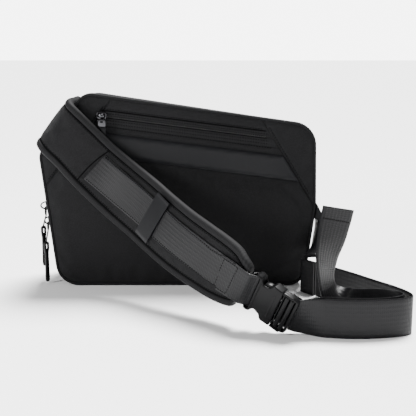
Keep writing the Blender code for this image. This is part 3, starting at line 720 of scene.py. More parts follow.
def body_outline(inset=0.0, steps=CORNER_STEPS):
    """Points (x, z) of the body's outline drawn in by inset, its corners as arcs."""
    corners = inset_corners(OUTLINE, inset)
    count = len(corners)
    points = []
    for i in range(count):
        before = Vector(corners[i - 1][:2])
        here = Vector(corners[i][:2])
        after = Vector(corners[(i + 1) % count][:2])
        radius = corners[i][2]
        edge_in = (before - here).normalized()
        edge_out = (after - here).normalized()
        half = edge_in.angle(edge_out) / 2
        reach = radius / math.tan(half)
        centre = here + (edge_in + edge_out).normalized() * radius / math.sin(half)
        start = here + edge_in * reach - centre
        turn = start.angle_signed(here + edge_out * reach - centre)
        for k in range(steps + 1):
            turned = start.copy()
            turned.rotate(Matrix.Rotation(-turn * k / steps, 2))
            points.append((centre.x + turned.x, centre.y + turned.y))
    return points


def finer(points, size=9.0):
    """Adds points along the long straight stretches of a closed outline."""
    full = []
    for i, (x, z) in enumerate(points):
        after = points[(i + 1) % len(points)]
        cuts = max(1, round(math.hypot(after[0] - x, after[1] - z) / size))
        for k in range(cuts):
            t = k / cuts
            full.append((x + (after[0] - x) * t, z + (after[1] - z) * t))
    return full


def band(name, profile, which="all", slack=0.0):
    """A band carried round the body's outline: profile lists (inset, depth) pairs; which is all,
    zip (the main zip's stretch) or rest (what the zip leaves)."""
    base = body_outline(0)
    cuts = []
    for i in range(len(base)):
        after = base[(i + 1) % len(base)]
        cuts.append(max(1, round(math.hypot(after[0] - base[i][0], after[1] - base[i][1]) / 8)))
    lines = []
    for inset, depth in profile:
        points = body_outline(inset)
        full = []
        for i, (x, z) in enumerate(points):
            after = points[(i + 1) % len(points)]
            for k in range(cuts[i]):
                t = k / cuts[i]
                full.append(Vector((x + (after[0] - x) * t, depth, z + (after[1] - z) * t)))
        lines.append(full)
    count = len(lines[0])
    if which != "all":
        first, last = zip_limits(lines[0])
        keep = range(first, last + 1) if which == "zip" else range(last, first + count + 1)
        lines = [[line[i % count] for i in keep] for line in lines]
    rings = [[line[i] for line in lines] for i in range(len(lines[0]))]
    if slack:
        for i, ring in enumerate(rings):
            for k, point in enumerate(ring):
                wave = noise.noise(point * 0.022) + 0.5 * noise.noise(point * 0.06)
                inset_way = Vector((ring[k].x - 2, 0, ring[k].z - OUTLINE_MIDDLE)).normalized()
                if point.z > 12:
                    ring[k] = point + inset_way * wave * slack
    closed = which == "all"
    runs = lengths([ring[0] for ring in rings], closed=closed)
    rounds = lengths([rings[0][k] for k in range(len(profile))], closed=True)
    return object_from(name, skin(rings, runs, rounds, close_run=closed))


def slumped(item):
    """Lets the body's rear sink a little at the top, more towards the low right end."""
    for vertex in item.data.vertices:
        x, y, z = vertex.co / MM
        back = min(max((y - FRONT_Y) / (BACK_Y - FRONT_Y), 0), 1)
        high = min(max((z - 90) / 90, 0), 1)
        amount = (2.6 + 0.011 * (x + 103)) * back * high * high * (3 - 2 * high)
        vertex.co.z -= amount * MM
    return item


def zip_limits(line):
    """First and last point of the main zip on an outline line: low on the left side, over the
    top, to the right side."""
    ends = []
    for height, side in ((ZIP_START_HEIGHT, -1), (ZIP_END_HEIGHT, 1)):
        ends.append(min(range(len(line)), key=lambda i: abs(line[i].z - height)
                        + (OTHER_SIDE if line[i].x * side < 0 else 0)))
    return min(ends), max(ends)


def rounded_wall(near, far, inset=0.0, thick=2.2, edge=1.3):
    """Profile of one gusset wall with its two outer edges turned in."""
    return [(inset + edge, near), (inset + 0.4, near + edge * 0.35), (inset, near + edge),
            (inset - 0.25, (near * 2 + far) / 3), (inset - 0.25, (near + far * 2) / 3),
            (inset, far - edge), (inset + 0.4, far - edge * 0.35), (inset + edge, far),
            (inset + thick, far), (inset + thick, near)]


class SLINGBAG_OT_shell(bpy.types.Operator):
    """Makes the gusset bands, the piping, the back panel and the main zip"""
    bl_idname = "slingbag.shell"
    bl_label = "Make the body's shell"

    def execute(self, context):
        sizes = context.scene.sling_bag_sizes
        settle(slumped(band("front_gusset_band", rounded_wall(-33.7, -26.9), slack=0.3)),
               "shell", replaces=["gusset_front"])
        settle(slumped(band("rear_gusset_band", rounded_wall(-17.1, 32.9), slack=0.5)),
               "shell", replaces=["gusset_rear"])
        settle(slumped(band("bottom_strip", rounded_wall(-26.7, -17.3, 0.3, 1.9), "rest")),
               "shell", replaces=["gusset_bottom_strip"])
        for name, near, far, node in (("zip_tape_front", -26.8, -23.3, "main_zip_tape_front"),
                                      ("zip_tape_rear", -20.7, -17.2, "main_zip_tape_rear")):
            settle(slumped(band(name, rounded_wall(near, far, 0.5, 1.4, 0.5), "zip")), "trim",
                   replaces=[node])
        self.make_teeth()
        for name, near, far, node in (("front_piping", -36.9, -33.6, "piping_front"),
                                      ("back_piping", 32.8, 36.1, "piping_back")):
            self.make_piping(name, near, far, node)
        for name, depth in (("gusset_stitches_front", -31.2), ("gusset_stitches_rear", 29.4)):
            self.sew_gusset(name, depth, sizes.stitch_pitch / MM)
        self.make_back(sizes)
        return {"FINISHED"}

    def make_teeth(self):
        points = finer(body_outline(0.9))
        line = [Vector((x, ZIP_DEPTH, z)) for x, z in points]
        first, last = zip_limits(line)
        spots = []
        for k, (place, along) in enumerate(spaced(line[first:last + 1], 1.25)):
            out = along.cross(Vector((0, 1, 0))).normalized()
            if out.dot(place - Vector((0, ZIP_DEPTH, OUTLINE_MIDDLE))) < 0:
                out = -out
            spots.append((place + Vector((0, 0.55 if k % 2 else -0.55, 0)), Vector((0, 1, 0)), out))
        settle(slumped(row_of("main_zip_teeth", spots, (2.2, 1.0, 1.4))), "coil",
               replaces=["main_zip_coil"])

    def make_piping(self, name, near, far, node):
        middle = (near + far) / 2
        half = (far - near) / 2
        profile = []
        for k in range(12):
            turn = 2 * math.pi * k / 12
            profile.append((1.75 - math.cos(turn) * 1.6, middle + math.sin(turn) * half))
        settle(slumped(band(name, profile)), "trim", replaces=[node])

    def sew_gusset(self, name, depth, pitch):
        line = [Vector((x, depth, z)) for x, z in finer(body_outline(-0.2))]
        spots = []
        for place, along in spaced(line + line[:1], pitch):
            out = along.cross(Vector((0, 1, 0))).normalized()
            if out.dot(place - Vector((0, depth, OUTLINE_MIDDLE))) < 0:
                out = -out
            if place.z > 3:
                spots.append((place, along, out))
        settle(slumped(row_of(name, spots, (2.1, 0.5, 0.5))), "stitch")

    def make_back(self, sizes):
        planes = outline_planes(PIPING + 0.3)
        item = slumped(panel("back_padding", planes, sizes.panel_grid / MM, BACK_Y - 2.2, 1, 2.0,
                             10.0, 2.4))
        settle(item, "mesh", replaces=["back_panel"])
        surface = Surface([item])
        line = [Vector((x, 40, z)) for x, z in finer(body_outline(9.0))]
        rows = sewn("back_stitches", line + line[:1], surface, Vector((0, -1, 0)),
                    sizes.stitch_pitch / MM)
        settle(rows, "stitch")


# ------------------------------------------------------------------ fabric panels


def plane_through(start, end, side, gap=0.3):
    """(nx, nz, c) of the half plane left (+1) or right (-1) of the line start-end."""
    along = Vector((end[0] - start[0], end[1] - start[1])).normalized()
    inward = Vector((-along.y, along.x)) * side
    return inward.x, inward.y, inward.dot(Vector(start)) + gap


def height_plane(height, side, gap=0.3):
    return plane_through((0, height), (100, height + 100 * FALL), side, gap)


def outline_planes(inset):
    points = body_outline(inset, 8)
    return [plane_through(a, b, -1, 0) for a, b in zip(points, points[1:] + points[:1])]


def depth_inside(planes, x, z):
    return min(nx * x + nz * z - c for nx, nz, c in planes)


def panel(name, planes, grid, base, facing, puff, reach, wall, wrinkle=0.25, pressure=0.0):
    """A soft panel of fabric over foam: cut to its half planes, swollen between its seams and
    drawn down to them; facing -1 looks to the front, +1 to the back."""
    shape = bmesh.new()
    bmesh.ops.create_grid(shape, x_segments=round(330 / grid), y_segments=round(240 / grid),
                          size=0.5)
    bmesh.ops.transform(shape, verts=shape.verts, matrix=(
        Matrix.Translation((0, 0, 112)) @ Matrix.Rotation(math.pi / 2, 4, "X")
        @ Matrix.Diagonal((330, 240, 1, 1))))
    for nx, nz, c in planes:
        bmesh.ops.bisect_plane(shape, geom=shape.verts[:] + shape.edges[:] + shape.faces[:],
                               dist=0.0001, plane_co=(nx * c, 0, nz * c), plane_no=(nx, 0, nz),
                               clear_inner=True)
    bmesh.ops.remove_doubles(shape, verts=shape.verts, dist=0.05)
    rim = []
    for vertex in shape.verts:
        inside = depth_inside(planes, vertex.co.x, vertex.co.z)
        rise = puff * (1 - math.exp(-max(inside, 0) / reach))
        soft = Vector((vertex.co.x, 0, vertex.co.z))
        rise += wrinkle * noise.noise(soft * 0.018) * min(inside / 12, 1)
        rise += wrinkle * 0.4 * noise.noise(soft * 0.05) * min(inside / 6, 1)
        vertex.co.y = base + facing * rise
        if inside < 0.4:
            rim.append(vertex.index)
    flip = [f for f in shape.faces if f.normal.y * facing < 0]
    bmesh.ops.reverse_faces(shape, faces=flip)
    item = object_from(name, shape, closed=False)
    if pressure:
        inflate(item, pressure, 2.2 * MM, planes)
    subdivided(item)
    wall_maker = item.modifiers.new("wall", "SOLIDIFY")
    wall_maker.thickness = wall * MM
    wall_maker.offset = -1
    finish_modifier(item, wall_maker)
    return item


def inflate(item, pressure, cap, planes=None, pinned=None, frames=16):
    """Swells fabric by cloth simulation with its seams held, and caps how far a point moves."""
    scene = bpy.context.scene
    mesh = item.data
    rest = [v.co.copy() for v in mesh.vertices]
    held = item.vertex_groups.new(name="seams")
    for i, spot in enumerate(rest):
        if pinned is not None:
            weight = pinned[i]
        else:
            weight = 1.0 if depth_inside(planes, spot.x / MM, spot.z / MM) < 0.5 else 0.0
        held.add([i], weight, "REPLACE")
    cloth = item.modifiers.new("cloth", "CLOTH")
    cloth.settings.quality = 6
    cloth.settings.mass = 0.25
    cloth.settings.tension_stiffness = 12
    cloth.settings.compression_stiffness = 12
    cloth.settings.bending_stiffness = 0.6
    cloth.settings.shrink_min = -0.012
    cloth.settings.use_pressure = True
    cloth.settings.uniform_pressure_force = pressure
    cloth.settings.vertex_group_mass = "seams"
    cloth.settings.effector_weights.gravity = 0
    cloth.point_cache.frame_start = 1
    cloth.point_cache.frame_end = frames
    for number in range(1, frames + 1):
        scene.frame_set(number)
    bpy.context.view_layer.update()
    grown = item.evaluated_get(bpy.context.evaluated_depsgraph_get()).to_mesh()
    places = [v.co.copy() for v in grown.vertices]
    item.modifiers.remove(cloth)
    for vertex, before, after in zip(mesh.vertices, rest, places):
        move = after - before
        if move.length > cap:
            move *= cap / move.length
        vertex.co = before + move
    mesh.update()
    scene.frame_set(1)


class SLINGBAG_OT_front(bpy.types.Operator):
    """Makes the front panels, the pocket zip, the satin band, their stitching and the painted-shade
    strips at the flap edge and the pocket coil
    """
    bl_idname = "slingbag.front"
    bl_label = "Make the front"

    def execute(self, context):
        sizes = context.scene.sling_bag_sizes
        grid = sizes.panel_grid / MM
        pitch = sizes.stitch_pitch / MM
        rim = outline_planes(PIPING + 0.35)
        seams = [plane_through(*LEFT_SEAM, 1), plane_through(*RIGHT_SEAM, -1)]
        made = []
        for name, planes, node in (
                ("corner_left", rim + [plane_through(*LEFT_SEAM, -1)], "front_corner_left"),
                ("corner_right", rim + [plane_through(*RIGHT_SEAM, 1)], "front_corner_right")):
            item = panel(name, planes, grid, -35.9, -1, 1.5, 2.0, 1.6, pressure=2.0)
            made.append(settle(item, "shell", replaces=[node]))
        for name, low, high, node, base, puff, reach in (
                ("zip_flap", FLAP_LINE, None, "front_top_band", -36.1, 1.2, 0.8),
                ("strip_under_zip", BAND_TOP, TAPE_LINE, "front_mid_strip", -35.5, 0.7, 0.7),
                ("main_front", None, BAND_BOTTOM, "front_main_panel", -35.6, 1.9, 2.0)):
            planes = rim + seams
            if low is not None:
                planes = planes + [height_plane(low, 1)]
            if high is not None:
                planes = planes + [height_plane(high, -1)]
            item = panel(name, planes, grid, base, -1, puff, reach, 1.6, 0.35,
                         pressure=3.0 if name == "main_front" else 0.0)
            made.append(settle(item, "shell", replaces=[node]))
        planes = rim + seams + [height_plane(BAND_BOTTOM, 1), height_plane(BAND_TOP + 0.8, -1)]
        item = panel("coated_band", planes, 3.0, -36.9, -1, 1.3, 0.7, 1.8, 0.12)
        made.append(settle(item, "satin", replaces=["satin_band"]))
        self.make_tapes(rim + seams)
        surface = Surface(made)
        self.sew(surface, pitch)
        return {"FINISHED"}

    def make_tapes(self, planes):
        tapes = []
        for name, low, high, node in (
                ("pocket_tape_upper", COIL_LINE + 0.8, FLAP_LINE + 2.5, "pocket_zip_tape_upper"),
                ("pocket_tape_lower", TAPE_LINE - 2.0, COIL_LINE - 0.8, "pocket_zip_tape_lower")):
            cut = planes + [height_plane(low, 1, 0), height_plane(high, -1, 0)]
            item = panel(name, cut, 3.0, -34.7, -1, 0.5, 0.8, 0.8, 0.05)
            add_front_uv(item)
            tapes.append(settle(item, "trim", replaces=[node]))
        line = [Vector((x, -35.7, COIL_LINE + FALL * x)) for x in TEETH_ENDS]
        spots = []
        across = Vector((-FALL, 0, 1)).normalized()
        for k, (place, along) in enumerate(spaced(line, 1.2)):
            shift = across * (0.35 if k % 2 else -0.35)
            spots.append((place + shift, across, Vector((0, -1, 0))))
        settle(row_of("pocket_zip_teeth", spots, (2.1, 0.95, 1.1)), "coil",
               replaces=["pocket_zip_coil"])
        surface = Surface(tapes)
        for name, height in (("tape_stitches_upper", 189.6), ("tape_stitches_lower", 178.6),
                             ("tape_stitches_low", 181.9)):
            line = [Vector((x, -36, height + FALL * x)) for x in range(-84, 108, 6)]
            settle(sewn(name, line, surface, Vector((0, 1, 0)), 3.0, (1.6, 1.0, 0.5)), "stitch")

    def sew(self, surface, pitch):
        into = Vector((0, 1, 0))
        for name, height, low, high in (("flap_stitches", FLAP_LINE + 1.7, -84, 101),
                                        ("strip_stitches", TAPE_LINE - 1.6, -98, 112)):
            line = [Vector((x, THREAD_DEPTH, height + FALL * x)) for x in range(low, high, 5)]
            settle(sewn(name, line, surface, into, pitch), "stitch")
        # Painted shade: thin near-black strips in the thread material, laid along the flap's lower
        # edge and beside the pocket coil, where the gaps fall into shade.
        for name, height, low, high, half in (("flap_edge_shade", FLAP_LINE - 0.2, -85, 102, 0.75),
                                              ("coil_gap_shade", COIL_LINE - 0.9, -90, 106, 0.5)):
            stations = []
            for x in range(low, high, 6):
                hit = surface.drop(Vector((x, THREAD_DEPTH, height + FALL * x)), into)
                depth = hit[0].y if hit else FRONT_Y + 0.8
                stations.append((Vector((x, min(depth, FRONT_Y + 1.2) - 0.05, height + FALL * x)),
                                 Vector((-FALL, 0, 1)).normalized(), Vector((0, -1, 0))))
            settle(webbing(name, stations, half, 0.5), "stitch")
        for name, seam, shift in (("left_seam_stitches", LEFT_SEAM, 1),
                                  ("right_seam_stitches", RIGHT_SEAM, -1)):
            a, b = (Vector((p[0], THREAD_DEPTH, p[1])) for p in seam)
            along = (b - a).normalized()
            side = Vector((-along.z, 0, along.x)) * shift
            line = [a + (b - a) * share + side * -2.2 for share in (0.1, 0.3, 0.5, 0.7, 0.9)]
            settle(sewn(name, line, surface, into, pitch), "stitch")


def add_front_uv(item):
    """A UV map in metres read straight off the front: X, then Z."""
    layer = item.data.uv_layers.new(name="UVMap")
    for loop in item.data.loops:
        spot = item.data.vertices[loop.vertex_index].co
        layer.data[loop.index].uv = (spot.x, spot.z - FALL * spot.x)


# ------------------------------------------------------------------ shoulder pad


def pad_frames(first=0.0, last=1.0):
    """Frames and widths of the pad between two shares of its route."""
    flat = [(*place, *across, width) for place, across, width in PAD_ROUTE]
    line = through(flat, PAD_STEPS)
    frames = frames_along([(Vector(s[0:3]), Vector(s[3:6])) for s in line])
    widths = [s[6] for s in line]
    end = len(frames) - 1
    low = round(first * end)
    high = round(last * end)
    return frames[low:high + 1], widths[low:high + 1]


def buckle_matrix():
    """Local millimetres of the buckle: X along the strap, Y across it, Z out of its face."""
    along = Vector(BUCKLE_ALONG).normalized()
    across = Vector(BUCKLE_ACROSS)
    across = (across - along * across.dot(along)).normalized()
    rotation = Matrix((along, across, along.cross(across))).transposed().to_4x4()
    return Matrix.Translation(Vector(BUCKLE_END)) @ rotation


def buckle_stations(points):
    matrix = buckle_matrix()
    across = matrix.to_3x3() @ Vector((0, 1, 0))
    return [(matrix @ Vector((x, 0, z)), across) for x, z in points]


class SLINGBAG_OT_pad(bpy.types.Operator):
    """Makes the padded shoulder strap with its binding, webbing, keeper, stitching and the painted
    shade in its seams
    """
    bl_idname = "slingbag.pad"
    bl_label = "Make the shoulder pad"

    def execute(self, context):
        sizes = context.scene.sling_bag_sizes
        binding = sizes.binding_width / MM
        half_web = sizes.web_width / MM / 2
        thick = sizes.web_thickness / MM
        pitch = sizes.stitch_pitch / MM
        core = self.make_core()
        self.make_binding(binding)
        face = PAD_HALF_THICK + 0.75
        frames = self.shifted(*pad_frames(CROSS_SEAM, 0.945))
        web = settle(webbing("pad_webbing", frames, half_web - 1.2, thick, face + thick / 2, 0.35),
                     "web", replaces=["pad_web"])
        self.make_keeper(face + thick + 1.3)
        loop = self.make_loop(half_web, thick, face + thick * 1.5 + 0.6)
        self.make_anchor()
        self.sew(core, web, loop, binding, half_web, pitch)
        return {"FINISHED"}

    def shifted(self, frames, widths):
        """The webbing runs a little above the pad's middle along its front stretch."""
        last = len(frames) - 1
        moved = []
        for i, (spot, across, face) in enumerate(frames):
            share = i / last
            rise = 2.8 * math.sin(math.pi * min(share * 1.15, 1)) ** 0.7
            moved.append((spot + across * rise, across, face))
        return moved

    def make_keeper(self, lift):
        """A smooth band sewn square across the webbing."""
        frames, _ = pad_frames(*KEEPER_SPAN)
        spot, across, face = frames[len(frames) // 2]
        along = across.cross(face).normalized()
        if along.dot(frames[-1][0] - frames[0][0]) < 0:
            along = -along
        across = (across + along * 0.10).normalized()
        along = (along - across * along.dot(across)).normalized()
        spot = spot + across * 2.0
        straight = [(spot + along * reach, across, face) for reach in (-17.5, -12, -7, -2, 3)]
        item = webbing("web_keeper", straight, 26.5, 1.3, lift, 0.5)
        settle(item, "satin", replaces=["pad_keeper"])

    def make_core(self):
        """The foam inside its two covers, swollen between the bindings."""
        frames, widths = pad_frames()
        cuts = 14
        rings = []
        for i, (spot, across, face) in enumerate(frames):
            half = widths[i] / 2 - 3.5
            ring = []
            for side in (1, -1):
                for k in range(cuts + 1):
                    a = (-half + 2 * half * k / cuts) * side
                    swell = 1 - abs(a / half) ** 4
                    d = side * (2.7 + 1.5 * swell)
                    ring.append(spot + across * a + face * d)
            rings.append(ring)
        count = len(rings[0])
        rounds = lengths([tuple(p) for p in rings[len(rings) // 2]], closed=True)
        item = object_from("pad_core", skin(rings, lengths([f[0] for f in frames]), rounds))
        pinned = []
        for i in range(len(rings)):
            for k in range(count):
                inner = k % (cuts + 1)
                edge = min(inner, cuts - inner)
                pinned.append(1.0 if edge < 2 or i < 2 or i > len(rings) - 3 else 0.0)
        inflate(item, 5.0, 0.9 * MM, pinned=pinned, frames=12)
        subdivided(item)
        return settle(item, "shell", angle=60, replaces=[
            "pad_foam", "pad_backing", "pad_shoulder_panel", "pad_lower_panel"])

    def make_binding(self, width):
        frames, widths = pad_frames()
        for name, side, node in (("binding_upper", 1, "pad_binding_upper"),
                                 ("binding_lower", -1, "pad_binding_lower")):
            def section(i):
                middle = (widths[i] / 2 - width / 2) * side
                ring = []
                for k in range(20):
                    turn = 2 * math.pi * k / 20
                    c = math.cos(turn)
                    s = math.sin(turn)
                    a = middle + math.copysign(abs(c) ** 0.8, c) * width / 2
                    outer = 0.5 + 0.5 * math.copysign(abs(c) ** 0.8, c) * side
                    d = math.copysign(abs(s) ** 0.8, s) * (PAD_HALF_THICK + 0.75 - 0.7 * outer)
                    ring.append((a, d))
                return ring
            settle(sweep(name, frames, section), "trim", angle=60, replaces=[node])

    def make_loop(self, half, thick, lift):
        """The webbing's doubled end: sewn on the pad, round the buckle's bar and back."""
        frames, _ = pad_frames(DOUBLED_FROM, 0.94)
        stations = [(spot + face * lift, across) for spot, across, face in frames[::2]]
        stations += buckle_stations([
            (-4.5, 7.3), (-1.5, 5.9), (1.2, 3.8), (3.2, 2.7), (5.1, 2.0), (5.85, 0),
            (5.1, -2.0), (3.0, -2.6), (0.5, -2.1), (-1.2, 0), (-2.0, 2.0)])
        item = webbing("buckle_loop", smooth_frames(stations, 3), half, thick)
        return settle(item, "web", replaces=["web_loop"])

    def make_anchor(self):
        """The patch that sews the pad's end onto the back panel."""
        base, across, width = PAD_ROUTE[0]
        across = Vector((across[0], 0, across[2])).normalized()
        inward = Vector((0, 1, 0)).cross(across)
        start = Vector((base[0], 0, base[2]))
        stations = []
        for reach, depth in ((-3, 33.5), (0, 36.5), (1.5, 38.4), (4, 39.2), (9, 38.9), (18, 38.3),
                             (30, 37.9)):
            stations.append((start + inward * reach + Vector((0, depth, 0)), across))
        frames = smooth_frames(stations, 3)
        item = slumped(webbing("pad_anchor_patch", frames, width / 2 - 4, 1.8))
        settle(item, "shell", replaces=["pad_anchor"])
        line = []
        for side, reach in ((-1, 0.35), (-1, 1), (1, 1), (1, 0.35), (-1, 0.35)):
            line.append(start + inward * (28 * reach) + across * side * (width / 2 - 7)
                        + Vector((0, 45, 0)))
        rows = sewn("anchor_stitches", line, Surface([item]), Vector((0, -1, 0)), 3.0)
        settle(rows, "stitch")

    def make_seam_shade(self, core, binding):
        """Sunk seams beside both bindings and where the two cover panels meet, drawn as near-black
        strips: partly the seams' dark thread, partly painted shade in their creases.
        """
        surface = Surface([core])
        frames, widths = pad_frames()
        lines = []
        for side in (1, -1):
            line = [(spot + across * side * (width / 2 - binding + 0.1), face)
                    for (spot, across, face), width in zip(frames, widths)]
            lines.append(line)
        frames, widths = pad_frames(CROSS_SEAM, 1.0)
        spot, across, face = frames[0]
        along = (frames[1][0] - frames[0][0]).normalized()
        line = []
        for k in range(13):
            share = k / 6 - 1
            bow = 2.2 * (1 - share * share) - share * 2.2
            line.append((spot + across * share * (widths[0] / 2 - binding) - along * (2.8 + bow),
                         face))
        lines.append(line)
        rings = []
        for line in lines:
            run = []
            for place, out in line:
                hit = surface.drop(place, -out)
                if hit is not None and (hit[0] - place).length < 14:
                    run.append((hit[0] + out * 0.1, out))
            rings.append(run)
        # Each strip is painted crease shade laid along a seam, in the thread material.
        for name, run in zip(("seam_shade_upper", "seam_shade_lower", "seam_shade_across"), rings):
            stations = []
            for i, (place, out) in enumerate(run):
                ahead = run[min(i + 1, len(run) - 1)][0] - run[max(i - 1, 0)][0]
                side = ahead.cross(out).normalized()
                stations.append((place, side, out))
            settle(webbing("pad_" + name, stations, 0.65, 0.5), "stitch")

    def sew(self, core, web, loop, binding, half_web, pitch):
        # Near-black seam strips first: seam thread and painted crease shade.
        self.make_seam_shade(core, binding)
        frames, widths = pad_frames()
        whole = Surface([core])
        top = Surface([web, loop])
        rows = []
        for side in (1, -1):
            line = []
            for (spot, across, face), width in zip(frames, widths):
                line.append((spot + across * side * (width / 2 - binding - 1.4), face))
            rows.append(("pad_stitches_" + ("upper" if side > 0 else "lower"), line, whole))
        frames, widths = pad_frames(CROSS_SEAM, DOUBLED_FROM)
        frames = self.shifted(frames, widths)
        for side in (1, -1):
            line = [(spot + across * side * (half_web - 2.8), face)
                    for spot, across, face in frames]
            rows.append(("web_stitches_" + ("upper" if side > 0 else "lower"), line, top))
        frames, widths = pad_frames(DOUBLED_FROM, 0.93)
        corners = []
        for i, side in ((0, 1), (-1, 1), (-1, -1), (0, -1), (0, 1)):
            spot, across, face = frames[i]
            along = (frames[-1][0] - frames[0][0]).normalized()
            corners.append((spot + (across + along * 0.28) * side * (half_web - 2.6), face))
        fine = []
        for (a, fa), (b, fb) in zip(corners, corners[1:]):
            fine += [(a.lerp(b, k / 6), fa.lerp(fb, k / 6)) for k in range(7)]
        rows.append(("box_stitches", fine, top))
        for name, line, surface in rows:
            spots = []
            wait = 0.0
            for (a, fa), (b, fb) in zip(line, line[1:]):
                step = b - a
                if step.length == 0:
                    continue
                while wait <= step.length:
                    place = a + step * (wait / step.length)
                    out = fa.lerp(fb, wait / step.length).normalized()
                    hit = surface.drop(place, -out)
                    if hit is not None and (hit[0] - place).length < 14:
                        flat = (step - out * step.dot(out)).normalized()
                        spots.append((hit[0], flat, out))
                    wait += pitch
                wait -= step.length
            settle(row_of(name, spots, (1.9, 1.0, 0.55)), "stitch")


# ------------------------------------------------------------------ strap webbing


def halfway(first, second):
    return (first[0] + second[0]) / 2, (first[1] + second[1]).normalized()


class SLINGBAG_OT_strap(bpy.types.Operator):
    """Makes the webbing strap, its tail, and the webbing at the bag's right side"""
    bl_idname = "slingbag.strap"
    bl_label = "Make the strap"

    def execute(self, context):
        sizes = context.scene.sling_bag_sizes
        half = sizes.web_width / MM / 2
        thick = sizes.web_thickness / MM
        upright = Vector((0, 0, 1))
        line = through([(x, y, WEB_HEIGHT) for x, y in STRAP_RUN], 6)
        before = [(Vector(p), upright) for p in line]
        after = buckle_stations([(51.5, -5.8), (46, -5.0), (40, -4.9), (35, -4.9)])
        middle = [halfway(before[-1], after[0])]
        run = webbing("strap_webbing", smooth_frames(before[::2] + middle + after, 3), half, thick)
        settle(run, "web",
               replaces=["strap_back_run", "strap_turn", "strap_front_run"])
        before = buckle_stations([(39, -7.4), (46, -7.7), (51.5, -8.9)])
        after = [(Vector((x, y, WEB_HEIGHT)), upright) for x, y in TAIL_RUN]
        rise = [(Vector(place), Vector(across)) for place, across in RISER_ROUTE]
        stations = before + [halfway(before[-1], after[0])] + after + rise
        tail = webbing("strap_tail", smooth_frames(stations, 8), half, thick)
        settle(tail, "web", replaces=["tail_run", "tail_riser"])
        frames = smooth_frames(rise, 8)[-9:]
        hem = webbing("tail_hem", frames, half - 0.1, thick + 1.4, 0.0)
        settle(hem, "web")
        spot, across, face = frames[1]
        line = [spot - face * 6 + across * (half - 1.5) * share for share in (-1, 0, 1)]
        settle(sewn("hem_stitches", line, Surface([hem]), face, 2.6), "stitch")
        self.make_fold(half, thick)
        self.make_side(thick)
        return {"FINISHED"}

    def make_fold(self, half, thick):
        """The webbing's end doubled back on itself at the end of the back run."""
        end = Vector((154.5, -76.5, WEB_HEIGHT))
        start = Vector((142, -59.5, WEB_HEIGHT))
        along = (end - start).normalized()
        side = Vector((along.y, -along.x, 0))
        up = Vector((0, 0, 1))
        stations = [(end + side * 1.6, up), (end - along * 10 + side * 1.7, up),
                    (start + side * 1.5 + along * 2, up), (start - along * 0.2, up),
                    (start - side * 1.5 + along * 2, up), (end - along * 10 - side * 1.7, up),
                    (end - side * 1.6, up)]
        item = webbing("strap_fold_webbing", smooth_frames(stations, 5), half, thick)
        settle(item, "web", replaces=["strap_fold"])

    def make_side(self, thick):
        """The tab sewn into the side seam and the webbing that falls from it."""
        outline = [(160.5, 97), (164.5, 89.5), (168.4, 82), (167.4, 79.6), (158.9, 78.5),
                   (160.5, 91)]
        tab = prism("side_tab_fabric", outline, -39, -1)
        bevelled(tab, 0.8)
        in_place(tab, UPRIGHT)
        faced_out(tab)
        settle(tab, "shell", replaces=["side_tab"])
        route = [((164.4, -20, 77.5), (0, -1, 0), 34), ((164.4, -22, 68), (0, -1, 0.05), 33),
                 ((160.9, -38, 55), (0.05, -0.95, 0.1), 26),
                 ((157, -53, 46.5), (0.3, -0.9, 0.1), 20), ((151.5, -63, 42), (0.45, -0.85, 0), 17)]
        line = through([(*place, *across, width) for place, across, width in route], 8)
        frames = frames_along([(Vector(s[0:3]), Vector(s[3:6])) for s in line])
        item = sweep("side_webbing", frames, lambda i: web_section(line[i][6] / 2, 4.2, 0, 0.4))
        settle(item, "web", replaces=["side_web"])


# ------------------------------------------------------------------ buckle


